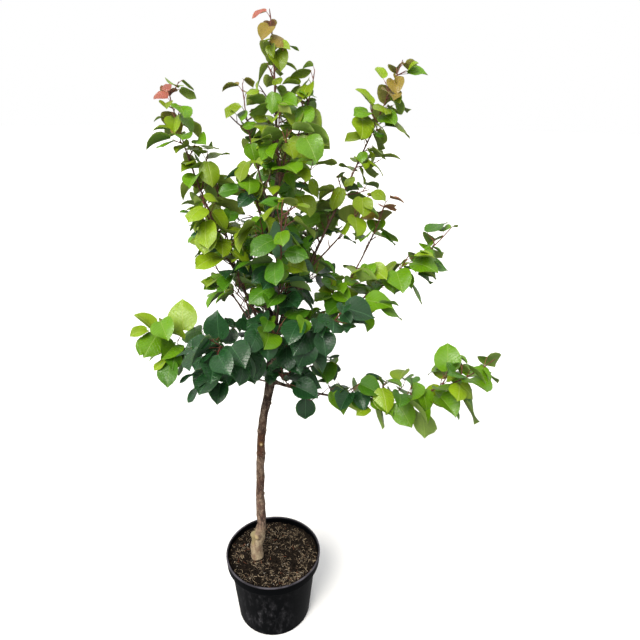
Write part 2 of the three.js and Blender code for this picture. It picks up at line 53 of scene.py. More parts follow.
def paint(code, strength=1):  # a colour as written for screens, turned into the light that it gives back
    parts = [int(code[i:i + 2], 16) / 255 for i in (0, 2, 4)]
    light = [part / 12.92 if part < 0.04045 else ((part + 0.055) / 1.055) ** 2.4 for part in parts]
    return (*[min(1, part * strength) for part in light], 1)


def put(tree, kind, values=None, **settings):  # a node with its sockets set or linked
    node = tree.nodes.new(kind)
    for name, value in settings.items():
        setattr(node, name, value)
    for socket, value in (values or {}).items():
        if isinstance(value, bpy.types.NodeSocket):
            tree.links.new(value, node.inputs[socket])
        else:
            node.inputs[socket].default_value = value
    return node


def sums(tree, operation, first, second=0.5, clamped=False):
    node = put(tree, "ShaderNodeMath", {0: first, 1: second}, operation=operation, use_clamp=clamped)
    return node.outputs[0]


def times(tree, first, *others):
    for other in others:
        first = sums(tree, "MULTIPLY", first, other)
    return first


def blendColour(tree, share, first, second, amount=1):  # the second laid over the first
    if amount != 1:
        share = times(tree, share, amount)
    return put(tree, "ShaderNodeMix", {0: share, 6: first, 7: second}, data_type="RGBA").outputs[2]


def spread(tree, value, low, high, toLow=0.0, toHigh=1.0):  # from one range to another, held at its ends
    return put(tree, "ShaderNodeMapRange", {0: value, 1: low, 2: high, 3: toLow, 4: toHigh}).outputs[0]


def valueOf(tree, name):  # a value that the mesh holds at its vertices
    return put(tree, "ShaderNodeAttribute", attribute_name=name).outputs["Fac"]


def newGroup(name, inputs, outputs):
    group = bpy.data.node_groups.new(name, "ShaderNodeTree")
    for socket, kind, value in inputs:
        made = group.interface.new_socket(socket, in_out="INPUT", socket_type=kind)
        made.default_value = value
    for socket in outputs:
        group.interface.new_socket(socket, in_out="OUTPUT", socket_type="NodeSocketFloat")
    return group, group.nodes.new("NodeGroupInput"), group.nodes.new("NodeGroupOutput")


def makeMottle():  # uneven patches on a surface, drawn out along one way if wished
    group, start, end = newGroup(
        "mottle",
        [("Stretch", "NodeSocketVector", (1, 1, 1)), ("Scale", "NodeSocketFloat", 60),
         ("Low", "NodeSocketFloat", 0.35), ("High", "NodeSocketFloat", 0.65)],
        ["Mask", "Raw"])
    place = put(group, "ShaderNodeTexCoord").outputs["Object"]
    drawn = put(group, "ShaderNodeVectorMath", {0: place, 1: start.outputs["Stretch"]}, operation="MULTIPLY")
    patches = put(group, "ShaderNodeTexNoise", {
        "Vector": drawn.outputs[0], "Scale": start.outputs["Scale"], "Detail": 5, "Roughness": 0.6})
    raw = patches.outputs["Fac"]
    group.links.new(spread(group, raw, start.outputs["Low"], start.outputs["High"]), end.inputs["Mask"])
    group.links.new(raw, end.inputs["Raw"])
    return group


mottle = makeMottle()


def mottled(tree, scale, low, high, stretch=(1, 1, 1)):
    return put(tree, "ShaderNodeGroup", {
        "Stretch": stretch, "Scale": scale, "Low": low, "High": high}, node_tree=mottle).outputs


def newLook(name, **fixed):  # a material with its own Principled shader
    look = bpy.data.materials.new(name)
    look.use_nodes = True
    shader = look.node_tree.nodes["Principled BSDF"]
    for socket, value in fixed.items():
        shader.inputs[socket.replace("_", " ")].default_value = value
    return look, look.node_tree, shader


def finishLook(tree, shader, tone, rough, normal):
    for socket, value in (("Base Color", tone), ("Roughness", rough), ("Normal", normal)):
        tree.links.new(value, shader.inputs[socket])


def bump(tree, height, depth, strength=1.0, over=None):
    values = {"Height": height, "Distance": depth, "Strength": strength}
    if over is not None:
        values["Normal"] = over
    return put(tree, "ShaderNodeBump", values).outputs[0]


# Meshes

def readShape(mesh):  # what a small bmesh holds, as arrays for copies of it
    mesh.verts.index_update()
    corners = [corner for face in mesh.faces for corner in face.loops]
    uvLayer = mesh.loops.layers.uv.active
    shape = {
        "points": np.array([vert.co for vert in mesh.verts]),
        "corners": np.array([corner.vert.index for corner in corners]),
        "sizes": np.array([len(face.verts) for face in mesh.faces]),
        "looks": np.array([face.material_index for face in mesh.faces]),
        "uv": np.array([corner[uvLayer].uv if uvLayer else (0, 0) for corner in corners]),
    }
    mesh.free()
    return shape


def addValues(mesh, name, values):  # a value at each vertex, for the materials
    mesh.attributes.new(name, "FLOAT", "POINT").data.foreach_set("value", values.astype(np.float32))


def smoothBelow(mesh, angle):
    mesh.shade_smooth()
    mesh.set_sharp_from_angle(angle=math.radians(angle))


def joinCopies(name, copies, sharpAngle=60):  # copies are (shape, points in millimetres, {name: values})
    def gathered(key):
        return np.concatenate([shape[key] for shape, _, _ in copies])

    starts = np.cumsum([0] + [len(points) for _, points, _ in copies])
    corners = np.concatenate([shape["corners"] + start for (shape, _, _), start in zip(copies, starts)])
    sizes = gathered("sizes")
    mesh = bpy.data.meshes.new(name)
    mesh.vertices.add(starts[-1])
    mesh.vertices.foreach_set("co", np.concatenate([points for _, points, _ in copies]).ravel() * mm)
    mesh.loops.add(len(corners))
    mesh.loops.foreach_set("vertex_index", corners.astype(np.int32))
    mesh.polygons.add(len(sizes))
    mesh.polygons.foreach_set("loop_start", np.concatenate(([0], np.cumsum(sizes)[:-1])).astype(np.int32))
    mesh.polygons.foreach_set("material_index", gathered("looks").astype(np.int32))
    mesh.uv_layers.new(name="own")
    mesh.uv_layers["own"].uv.foreach_set("vector", gathered("uv").astype(np.float32).ravel())
    for key in copies[0][2]:
        addValues(mesh, key, np.concatenate([
            np.broadcast_to(extra[key], len(points)) for _, points, extra in copies]))
    mesh.update(calc_edges=True)
    mesh.validate()
    smoothBelow(mesh, sharpAngle)
    return mesh


def addPiece(mesh, looks, nodes=()):
    piece = bpy.data.objects.new(mesh.name, mesh)
    bpy.context.collection.objects.link(piece)
    for look in looks:
        mesh.materials.append(look)
    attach(piece, "root")
    if nodes:
        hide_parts(*nodes)


@cache
def straightTube(rings, sides):  # a closed tube with a ring at each whole height, to be bent along a path
    tube = bmesh.new()
    bmesh.ops.create_cone(
        tube, cap_ends=True, cap_tris=False, segments=sides, radius1=1, radius2=1, depth=rings - 1)
    if rings > 2:
        upright = [edge for edge in tube.edges if abs(edge.verts[0].co.z - edge.verts[1].co.z) > 0.5]
        bmesh.ops.subdivide_edges(tube, edges=upright, cuts=rings - 2)
    bmesh.ops.translate(tube, verts=tube.verts, vec=(0, 0, (rings - 1) / 2))
    shape = readShape(tube)
    shape["ring"] = np.rint(shape["points"][:, 2]).astype(int)
    shape["angle"] = np.arctan2(shape["points"][:, 1], shape["points"][:, 0])
    return shape


def unit(vector):
    return vector / np.linalg.norm(vector)


def bendTube(path, radii, sides):  # the shape and the places of a tube along a path
    shape = straightTube(len(path), sides)
    ahead = np.gradient(path, axis=0)
    across = np.eye(3)[0 if abs(unit(ahead[0])[0]) < 0.9 else 1]
    acrosses, thirds = [], []
    for direction in ahead:
        direction = unit(direction)
        across = unit(across - direction * across.dot(direction))
        acrosses.append(across)
        thirds.append(np.cross(direction, across))
    ring, angle = shape["ring"], shape["angle"][:, None]
    outward = np.cos(angle) * np.array(acrosses)[ring] + np.sin(angle) * np.array(thirds)[ring]
    return shape, path[ring] + np.asarray(radii)[ring][:, None] * outward


def curveBetween(t, start, leave, end, arrive):  # from one place and slope to the next
    return ((1 + 2 * t) * (1 - t) ** 2 * start + t * (1 - t) ** 2 * leave
            + t ** 2 * (3 - 2 * t) * end + t ** 2 * (t - 1) * arrive)


def smoothPath(points, step):  # a curve through the points, with a place every step or so
    points = np.asarray(points)
    marks = np.concatenate(([0], np.cumsum(np.linalg.norm(np.diff(points, axis=0), axis=1))))
    slopes = np.gradient(points, marks, axis=0)
    count = max(2, int(marks[-1] / step) + 1)
    where = np.linspace(0, marks[-1], count)
    low = np.clip(np.searchsorted(marks, where, side="right") - 1, 0, len(marks) - 2)
    span = (marks[low + 1] - marks[low])[:, None]
    t = (where - marks[low])[:, None] / span
    curve = curveBetween(t, points[low], span * slopes[low], points[low + 1], span * slopes[low + 1])
    return curve, where / marks[-1]


# The plan of the plant, by the same rule and sizes as its solids

trunkStations = np.array([  # height, place across, place in depth, radius
    [205.3, -48, 0, 18.5], [225, -48.5, 1, 16.8], [248, -49.5, 2, 16.8], [276, -41, 3, 16.2],
    [302, -37, 3.5, 14.2], [328, -32, 4, 12], [350, -32.5, 5, 12], [392, -32.7, 6.5, 12.3],
    [440, -34, 7.5, 10.7], [490, -31, 8, 11.4], [530, -30.6, 7, 10], [570, -27.5, 6, 11.2],
    [607, -26.2, 5, 10.1], [650, -23, 2, 10.7], [705, -15, -1, 9.7], [782, 0, -4, 11.2], [850, 8, -3, 13.2],
    [925, 18, 0, 11.6], [952, 18, 2, 9.6], [985, 8, 4, 7.4], [1015, -4, 4, 6.8], [1080, -5, 1, 6.2],
    [1150, 1, -4, 5.6], [1235, 16, -5, 4.9], [1335, 34, 0, 4.1]])
# Headings: 0 points away from the front, 90 to the right, 180 to the front. Rises are the angles above level
# at a limb's foot, middle and tip.
boughs = {  # height, heading, swing, rises, length, bare share, radius, and each side's turn, rise and length
    "left_high": (881, -79, -2, (69, 69, 80), 655, 0.38, 5.4, [(-42, 61, 200), (46, 59, 245)]),
    "left_low": (826, -104, 10, (58, 12, 48), 322, 0.3, 4.6, [(-34, -4, 150), (40, 30, 135)]),
    "right_high": (913, 73, 3, (66, 63, 68), 725, 0.32, 5.8, [(20, 46, 240)]),
    "right_mid": (876, 88, -4, (39, 31, 51), 548, 0.27, 5.2, [(-4, 57, 335), (40, 25, 200)]),
    "right_low": (806, 107, 5, (-15, 12, 50), 590, 0.2, 5, []),
    "front_high": (905, 172, 6, (58, 62, 76), 430, 0.36, 4.8, []),
    "front_left": (836, -156, 8, (38, 35, 42), 330, 0.36, 4.4, []),
    "front_right": (862, 144, -6, (40, 38, 52), 320, 0.38, 4.6, [(60, 36, 150)]),
    "back_high": (926, 8, 6, (64, 62, 78), 560, 0.4, 5.4, [(-50, 56, 170)]),
    "back_low": (828, -8, 8, (42, 32, 56), 410, 0.36, 4.8, [(44, 26, 150)]),
    "back_left": (868, -46, 4, (52, 43, 64), 385, 0.38, 4.8, [(30, 46, 150)]),
    "back_right": (890, 25, 4, (58, 42, 50), 430, 0.38, 5, [(42, 24, 120)]),
}
trunkSprays = {  # sprays that stand on the trunk itself: height, heading, rise, length
    "inner_1": (800, -84, 14, 150), "inner_2": (812, 88, 16, 155), "inner_3": (840, 152, 2, 140),
    "inner_4": (966, -130, 40, 150), "inner_5": (1010, 106, 34, 170), "inner_6": (1070, -36, 42, 160),
    "inner_7": (1120, 175, 44, 170), "inner_8": (1160, 60, 52, 220), "inner_9": (1190, -140, 64, 180),
    "upper_left": (1236, -48, 66, 290), "upper_front": (1262, 148, 60, 180),
    "upper_right": (1280, 68, 65, 275), "upper_back": (1310, 0, 60, 190),
}
topSpray = {"heading": -60, "swing": 30, "rise": (86, 88, 80), "length": 320, "sunk": 4, "foot": 0.95,
            "leafShare": 0.8}
growth = {
    "curveStep": 9, "step": 42, "tipShare": 0.6, "sideRoot": 18, "sideRootStep": 15, "sideSwing": 0.25,
    "sideLift": (0, 5, 18), "sideFoot": 2.6, "innerSwing": 20, "innerLift": (0, 4, 16), "innerFoot": 2.4,
    "first": 18, "firstShare": 0.45, "internode": 26, "turn": 137.5, "shootTurn": 70,
}
twig = {
    "every": 5, "lastNodes": 2, "length": 84, "shortest": 0.65, "lengthPlay": 0.6, "shortening": 0.35,
    "spread": 50, "spreadPlay": 20, "overShare": 0.8, "lift": 14, "steps": 2, "limbClearance": 5,
    "spaceSlack": 22, "foot": 1.7,
}


def drawsFrom(seed):  # a repeatable stream of numbers from 0 to 1
    state = (seed * 7919 + 12345) & 0xffffffff

    def draw():
        nonlocal state
        state = (state * 1664525 + 1013904223) & 0xffffffff
        return state / 4294967296

    draw()
    draw()
    return draw


def aim(heading, rise):
    flat = math.cos(math.radians(rise))
    turn = math.radians(heading)
    return np.array((flat * math.sin(turn), flat * math.cos(turn), math.sin(math.radians(rise))))


def headingOf(course):
    return math.degrees(math.atan2(course[0], course[1]))


def growPath(start, heading, swing, rise, length, steps):
    points = [np.array(start, float)]
    for i in range(steps):
        t = (i + 0.5) / steps
        angle = rise[0] * (1 - t) * (1 - 2 * t) + rise[1] * 4 * t * (1 - t) + rise[2] * t * (2 * t - 1)
        points.append(points[-1] + aim(heading + swing * t, angle) * length / steps)
    return np.array(points)


def pathLength(points):
    return np.linalg.norm(np.diff(points, axis=0), axis=1).sum()


def along(points, distance):  # the point and direction at a distance along a path
    spans = np.linalg.norm(np.diff(points, axis=0), axis=1)
    for i, span in enumerate(spans):
        if distance <= span or i == len(spans) - 1:
            direction = (points[i + 1] - points[i]) / span
            return points[i] + direction * distance, direction
        distance -= span


def trunkMeasure(height, column):
    return np.interp(height, trunkStations[:, 0], trunkStations[:, column])


def trunkAt(height):
    return np.array((trunkMeasure(height, 1), trunkMeasure(height, 2), height))


def trunkRadiusAt(height):
    return trunkMeasure(height, 3)


def wholeSteps(length):
    return int(length / growth["step"] + 0.5)


trunkLine, _ = smoothPath(trunkStations[:, [1, 2, 0]], growth["curveStep"])
trunkRadii = trunkRadiusAt(trunkLine[:, 2])
limbs = [(trunkLine, trunkRadii)]
sprays = []


def addSpray(name, start, heading, swing, rise, length, foot, **extra):
    line = growPath(start, heading, swing, rise, length, wholeSteps(length))
    sprays.append({"name": name, "line": line, "foot": foot, **extra})


for name, (height, heading, swing, rise, length, bareShare, radius, sides) in boughs.items():
    steps = wholeSteps(length)
    whole = growPath(trunkAt(height), heading, swing, rise, length, steps)
    bareSteps = int(steps * bareShare + 0.5)
    bare = whole[:bareSteps + 1]
    tipRadius = radius * growth["tipShare"]
    limbs.append((bare, np.linspace(radius, tipRadius, len(bare))))
    sprays.append({"name": name, "line": whole[bareSteps:], "foot": tipRadius})
    for i, (turn, sideRise, sideLength) in enumerate(sides):
        start, _ = along(bare, pathLength(bare) - growth["sideRoot"] - growth["sideRootStep"] * i)
        addSpray(f"{name}_{i + 2}", start, heading + turn, turn * growth["sideSwing"],
                 [sideRise + lift for lift in growth["sideLift"]], sideLength, growth["sideFoot"])
for name, (height, heading, rise, length) in trunkSprays.items():
    rises = [rise + lift for lift in growth["innerLift"]]
    addSpray(name, trunkAt(height), heading, growth["innerSwing"], rises, length, growth["innerFoot"])
addSpray("top", trunkAt(trunkStations[-1][0] - topSpray["sunk"]), topSpray["heading"], topSpray["swing"],
         topSpray["rise"], topSpray["length"], trunkStations[-1][3] * topSpray["foot"],
         leafShare=topSpray["leafShare"])

limbStarts = np.concatenate([line[:-1] for line, _ in limbs])
limbEnds = np.concatenate([line[1:] for line, _ in limbs])
limbRadii = np.concatenate([np.column_stack((radii[:-1], radii[1:])) for _, radii in limbs])


def clearOfLimbs(points, clearance):
    spans = limbEnds - limbStarts
    away = points[:, None] - limbStarts
    share = np.clip((away * spans).sum(2) / (spans ** 2).sum(1), 0, 1)
    distance = np.linalg.norm(away - spans * share[..., None], axis=2)
    radius = limbRadii[:, 0] + (limbRadii[:, 1] - limbRadii[:, 0]) * share
    return bool((distance > radius + clearance).all())


def inOwnSpace(points, index, skeleton, owners):  # nearer to its own shoots than to others, but for the slack
    distances = np.linalg.norm(points[:, None] - skeleton[None], axis=2)
    own = distances[:, owners == index].min(1)
    other = distances[:, owners != index].min(1)
    return bool((own < other + twig["spaceSlack"]).all())


def frameOf(direction):  # two directions square to a shoot, the first as level as it can be
    helper = np.array((0, 1.0, 0)) if abs(direction[2]) > 0.95 else np.array((0, 0, 1.0))
    level = unit(np.cross(direction, helper))
    return level, np.cross(level, direction)


def nodeCount(spray):
    return int((pathLength(spray["line"]) - growth["first"]) / growth["internode"])


def nodeOf(spray, i, extraTurn=0):  # a node on a spray's stem: its place, the stem's frame and its own turn
    point, direction = along(spray["line"], growth["first"] + (i + 0.5) * growth["internode"])
    angle = math.radians(spray["turn"] + (i + 0.5) * growth["turn"] + extraTurn)
    return point, direction, *frameOf(direction), angle


def branchPath(point, direction, out, wide, length, lift):  # a shoot that leaves its stem at an angle
    wide = math.radians(wide)
    course = direction * math.cos(wide) + out * math.sin(wide)
    rise = math.degrees(math.asin(course[2] / np.linalg.norm(course)))
    return growPath(point, headingOf(course), 0, (rise, rise + lift / 2, rise + lift), length, twig["steps"])


def growTwigs(spray, index, skeleton, owners):
    draw = drawsFrom(index + 1)
    count = nodeCount(spray)
    spray["shoots"] = [{"line": spray["line"], "foot": spray["foot"], "kind": "stem"}]
    spray["turn"] = draw() * 360
    for i in range(1, count - twig["lastNodes"], twig["every"]):
        point, direction, level, over, angle = nodeOf(spray, i)
        out = level * math.cos(angle) + over * abs(math.sin(angle)) * twig["overShare"]
        wide = twig["spread"] + twig["spreadPlay"] * (draw() - 0.5)
        play = twig["shortest"] + twig["lengthPlay"] * draw()
        length = twig["length"] * play * (1 - twig["shortening"] * i / count)
        line = branchPath(point, direction, out, wide, length, twig["lift"])
        if inOwnSpace(line[1:], index, skeleton, owners) and clearOfLimbs(line[1:], twig["limbClearance"]):
            spray["shoots"].append({"line": line, "foot": twig["foot"], "kind": "twig"})


axisPoints = np.concatenate([spray["line"] for spray in sprays])
axisOwners = np.concatenate([np.full(len(spray["line"]), i) for i, spray in enumerate(sprays)])
for i, spray in enumerate(sprays):
    growTwigs(spray, i, axisPoints, axisOwners)
skeleton = np.concatenate([shoot["line"] for spray in sprays for shoot in spray["shoots"]])
owners = np.concatenate([
    np.full(len(shoot["line"]), i) for i, spray in enumerate(sprays) for shoot in spray["shoots"]])
print(f"plan: {len(limbs)} limbs, {len(sprays)} sprays, {sum(len(s['shoots']) for s in sprays)} shoots")


# Spurs and single shoots: short ones between the twigs, finer than the solids hold

spur = {"seed": 1501, "chance": 0.62, "shortest": 16, "longest": 40, "spread": 62, "lift": 22,
        "limbClearance": 4, "foot": 1.5}
single = {"swing": 12, "lift": (0, 6, 16), "foot": 1.6}
singleShoots = {  # side shoots with a few leaves: at, heading, rise, length, and how far their leaves hang
    "top": [(0.42, -75, 42, 56, 14)],
    "right_low": [(0.6, 122, -20, 50, 30)],
    "right_high": [(0.36, 85, 6, 66, 16), (0.5, 100, 10, 54, 20), (0.93, 80, 20, 26, -8)],
}
tipLeaves = {  # short shoots with one leaf: at, heading, rise, length, and the leaf's heading, hang and size
    "top": [(0.64, 84, 30, 8, 100, 5, 0.7), (0.72, 88, 40, 22, 90, 5, 0.6)],
    "left_high": [(0.69, 85, 10, 20, 90, 0, 0.75), (0.59, 85, 12, 18, 90, 10, 0.85),
                  (0.72, -90, 0, 8, -90, 5, 0.85)],
    "left_low": [(0.7, 0, 80, 20, -10, -64, 1), (0.4, 60, 60, 24, 20, -64, 1),
                 (0.93, -60, 50, 8, -70, -40, 0.7), (0.22, 20, 60, 14, 20, -30, 0.9)],
    "left_low_2": [(0.7, -100, -20, 16, -110, 40, 1.1)],
    "right_high": [(0.85, -60, 60, 24, -20, -50, 0.5), (0.72, -75, 50, 22, -60, -40, 0.85),
                   (0.71, 95, -10, 10, 95, 20, 1)],
    "right_mid": [(0.5, 100, -20, 24, 90, 52, 0.95), (0.85, -20, 40, 16, 80, -10, 0.8)],
    "right_low": [(0.68, 0, 80, 20, 5, -64, 0.84), (0.02, -60, -50, 44, 180, 72, 0.8),
                  (0.57, 150, -60, 16, 60, 42, 1), (0.72, 120, -40, 20, 100, 50, 1)],
}


def growSpurs(spray, index):
    draw = drawsFrom(index + spur["seed"])
    for i in range(nodeCount(spray)):
        chance, size, turnDraw = draw(), draw(), draw()
        if i % twig["every"] == 1 or chance > spur["chance"]:
            continue
        point, direction, level, over, angle = nodeOf(spray, i, 90 * turnDraw)
        out = level * math.cos(angle) + over * math.sin(angle)
        length = spur["shortest"] + (spur["longest"] - spur["shortest"]) * size
        line = branchPath(point, direction, out, spur["spread"], length, spur["lift"])
        if inOwnSpace(line[1:], index, skeleton, owners) and clearOfLimbs(line[-1:], spur["limbClearance"]):
            spray["shoots"].append({"line": line, "foot": spur["foot"], "kind": "spur"})


def addSingle(spray, at, heading, rise, length, **leafWay):
    point, _ = along(spray["line"], at * pathLength(spray["line"]))
    rises = [rise + lift for lift in single["lift"]]
    line = growPath(point, heading, single["swing"], rises, length, twig["steps"])
    spray["shoots"].append({"line": line, "foot": single["foot"], **leafWay})


for i, spray in enumerate(sprays):
    growSpurs(spray, i)
    for *way, hang in singleShoots.get(spray["name"], []):
        addSingle(spray, *way, kind="single", hang=hang)
    for *way, face, hang, size in tipLeaves.get(spray["name"], []):
        addSingle(spray, *way, kind="tip", hang=hang, face=face, size=size, share=way[0])
print(f"spurs: {sum(len(spray['shoots']) for spray in sprays)} shoots in all")


# Leaves: where they stand

leafPlan = {
    "seed": 4701, "low": 76, "high": 60, "lowHeight": 800, "highHeight": 1560, "least": 0.6, "play": 0.56,
    "tipPlay": 0.12, "twigShare": 0.94, "spurShare": 0.8, "youngFrom": 0.7, "youngPower": 1.5,
    "youngest": 0.58, "stemFirst": 12, "beforeTip": 1.5, "internode": 15.5, "spurInternode": 0.6,
    "petiole": 0.42, "shoulder": 0.25, "shoulderWidth": 0.41, "waist": 0.66, "waistWidth": 0.37,
}
leafHang = {
    "forward": 0.75, "tipForward": 1.6, "outward": 0.95, "upward": 0.12, "lowest": -0.35, "tipPower": 4,
    "leastDroop": -18, "mostDroop": 54, "lowFrom": 1000, "lowDroop": 12, "highFrom": 1180, "highDroop": 14,
    "tipDroop": 0.5, "headingPlay": 60, "rollPlay": 76, "singlePlay": 24, "tipCalm": 0.4,
}
openings = {  # share of the leaves left off where the crown lets the sky through
    "back_left": 0.4, "back_left_2": 0.25, "inner_4": 0.25, "inner_5": 0.35, "right_mid_2": 0.22,
    "back_right_2": 0.3, "front_left": 0.3, "inner_1": 0.5, "left_low_2": 0.2, "left_low_3": 0.25,
    "upper_left": 0.25, "upper_back": 0.2, "back_low": 0.15, "back_low_2": 0.3, "front_right": 0.15,
    "front_right_2": 0.15, "inner_3": 0.4, "inner_9": 0.4, "inner_7": 0.5, "upper_front": 0.35,
    "front_high": 0.32, "left_high_3": 0.15, "left_high": 0.2, "right_high": 0.1, "right_high_2": 0.1,
    "right_low": 0.06, "upper_right": 0.1,
}
skyGaps = np.array([  # gaps seen in and beside the crown, kept free of leaves: left, right, lowest, highest
    (-92, 34, 600, 790), (-213, -88, 600, 731), (233, 310, 600, 693), (651, 800, 600, 900),
    (113, 228, 613, 685), (34, 64, 735, 786), (-240, -197, 762, 801), (631, 672, 807, 886),
    (191, 327, 809, 931), (334, 429, 833, 917), (168, 197, 883, 941), (-352, -327, 898, 924),
    (278, 311, 933, 981), (-87, -55, 981, 1038), (-112, -82, 985, 1024), (-128, -75, 1097, 1121),
    (141, 254, 1118, 1143), (124, 180, 1130, 1178), (438, 483, 1131, 1175), (220, 271, 1134, 1177),
    (328, 369, 1137, 1181), (-214, -181, 1145, 1187), (463, 492, 1180, 1228), (-230, -188, 1199, 1242),
    (39, 71, 1236, 1259), (-56, -28, 1237, 1261), (133, 157, 1295, 1347), (-245, -184, 1308, 1363),
    (282, 316, 1312, 1357), (-83, -57, 1338, 1372), (276, 308, 1376, 1412), (-94, -57, 1378, 1430),
    (-112, -84, 1393, 1440), (173, 191, 1415, 1473), (-116, -82, 1433, 1469), (124, 178, 1436, 1528),
    (310, 340, 1468, 1515), (-177, -137, 1516, 1537), (119, 175, 1519, 1569), (-36, 0, 1528, 1562),
    (42, 69, 1632, 1665), (-160, 160, 1653, 1900)]).T
leafRoom = {
    "discAt": 0.46, "discRadius": 0.37, "clearance": 1.5, "limbClearance": 2, "reach": 1.45,
    "petioleFrom": 0.35, "attempts": 6, "turn": 77, "lift": 20, "shrink": 0.06, "mostLeaves": 6000,
}


def shapeLeaf(node, petioleAim, bladeAim, roll, length):
    neck = node + petioleAim * leafPlan["petiole"] * length
    level = unit(np.cross(bladeAim, (0, 0, 1)))
    upright = np.cross(level, bladeAim)
    side = level * math.cos(roll) + upright * math.sin(roll)
    normal = upright * math.cos(roll) - level * math.sin(roll)
    shoulder, waist = leafPlan["shoulder"], leafPlan["waist"]
    spots = [(0, 0), (shoulder, leafPlan["shoulderWidth"]), (waist, leafPlan["waistWidth"]), (1, 0),
             (waist, -leafPlan["waistWidth"]), (shoulder, -leafPlan["shoulderWidth"])]
    outline = np.array([neck + length * (bladeAim * forward + side * across) for forward, across in spots])
    return {
        "node": node, "neck": neck, "petioleAim": petioleAim, "aim": bladeAim, "side": side, "normal": normal,
        "length": length, "outline": outline, "centre": neck + bladeAim * leafRoom["discAt"] * length,
        "radius": leafRoom["discRadius"] * length,
        "starts": np.concatenate((outline, outline[:1])),
        "ends": np.concatenate((outline[1:], outline[:1], outline[3:4])),
    }


def meetsDisc(a, b, centre, normal, radius):  # lines from a to b that come too near to discs
    heightA = ((a - centre) * normal).sum(-1)
    heightB = ((b - centre) * normal).sum(-1)
    sameSide = heightA * heightB > 0
    far = sameSide & (np.minimum(np.abs(heightA), np.abs(heightB)) > leafRoom["clearance"])
    drop = heightA - heightB
    share = np.where(sameSide, np.abs(heightA) > np.abs(heightB), heightA / np.where(drop == 0, 1, drop))
    spot = a + (b - a) * share[..., None]
    return ~far & (np.linalg.norm(spot - centre, axis=-1) < radius + leafRoom["clearance"])


shootLines = [shoot["line"] for spray in sprays for shoot in spray["shoots"]]
barStarts = np.concatenate([line[:-1] for line in shootLines] + [limbStarts])
barEnds = np.concatenate([line[1:] for line in shootLines] + [limbEnds])
placed = {key: np.zeros((leafRoom["mostLeaves"], *shape)) for key, shape in {
    "centre": (3,), "normal": (3,), "radius": (), "starts": (7, 3), "ends": (7, 3), "node": (3,),
    "neck": (3,)}.items()}
leaves = []


def keepLeaf(leaf):
    for key in placed:
        placed[key][len(leaves)] = leaf[key]
    leaves.append(leaf)


def inSkyGap(points):  # seen from the camera, on the upright plane through the trunk
    eye = np.array(camera["place"]) / mm
    seen = eye + (points - eye) * (-eye[1] / (points[:, 1:2] - eye[1]))
    across, height = seen[:, :1], seen[:, 2:]
    left, right, lowest, highest = skyGaps
    return bool(((across > left) & (across < right) & (height > lowest) & (height < highest)).any())


def leafFits(leaf, index, isTip):
    if inSkyGap(leaf["outline"]) or not clearOfLimbs(leaf["outline"], leafRoom["limbClearance"]):
        return False
    if not isTip and not inOwnSpace(leaf["outline"], index, skeleton, owners):
        return False
    disc = (leaf["centre"], leaf["normal"], leaf["radius"])
    if meetsDisc(barStarts, barEnds, *disc).any():
        return False
    away = np.linalg.norm(placed["centre"][:len(leaves)] - leaf["centre"], axis=1)
    near = np.flatnonzero(away < leafRoom["reach"] * (placed["radius"][:len(leaves)] + leaf["radius"]))
    if not len(near):
        return True
    other = {key: values[near] for key, values in placed.items()}
    discs = (other["centre"], other["normal"], other["radius"])
    middle, middles = (
        one["node"] + (one["neck"] - one["node"]) * leafRoom["petioleFrom"] for one in (leaf, other))
    meetings = (
        (leaf["starts"][None], leaf["ends"][None], *(values[:, None] for values in discs)),
        (other["starts"], other["ends"], *disc),
        (middle, leaf["neck"], *discs), (middles, other["neck"], *disc))
    return not any(meetsDisc(*meeting).any() for meeting in meetings)


def bladeLength(height, share, shoot, chance):
    climb = (height - leafPlan["lowHeight"]) / (leafPlan["highHeight"] - leafPlan["lowHeight"])
    size = leafPlan["low"] + (leafPlan["high"] - leafPlan["low"]) * min(max(climb, 0), 1)
    if shoot["kind"] == "tip":
        return size * (shoot["size"] + leafPlan["tipPlay"] * chance)
    size *= leafPlan["least"] + leafPlan["play"] * chance
    if shoot["kind"] == "single":
        return size
    if shoot["kind"] == "spur":
        return size * leafPlan["spurShare"]
    age = max(0, (share - leafPlan["youngFrom"]) / (1 - leafPlan["youngFrom"])) ** leafPlan["youngPower"]
    young = 1 + (leafPlan["youngest"] - 1) * age
    return size * young * (1 if shoot["kind"] == "stem" else leafPlan["twigShare"])


def droopOf(shoot, height, tipShare, chance):
    if "hang" in shoot:
        return shoot["hang"] + leafHang["singlePlay"] * (chance - 0.5)
    droop = leafHang["leastDroop"] + (leafHang["mostDroop"] - leafHang["leastDroop"]) * chance
    droop += leafHang["lowDroop"] * (height < leafHang["lowFrom"])
    droop += leafHang["highDroop"] * (height > leafHang["highFrom"])
    return droop * (1 + (leafHang["tipDroop"] - 1) * tipShare)


def petioleCourse(direction, turn, tipShare):
    level, over = frameOf(direction)
    out = level * math.cos(math.radians(turn)) + over * math.sin(math.radians(turn))
    out[2] = max(out[2], leafHang["lowest"])
    forward = leafHang["forward"] + (leafHang["tipForward"] - leafHang["forward"]) * tipShare
    return unit(direction * forward + out * leafHang["outward"] + np.array((0, 0, leafHang["upward"])))


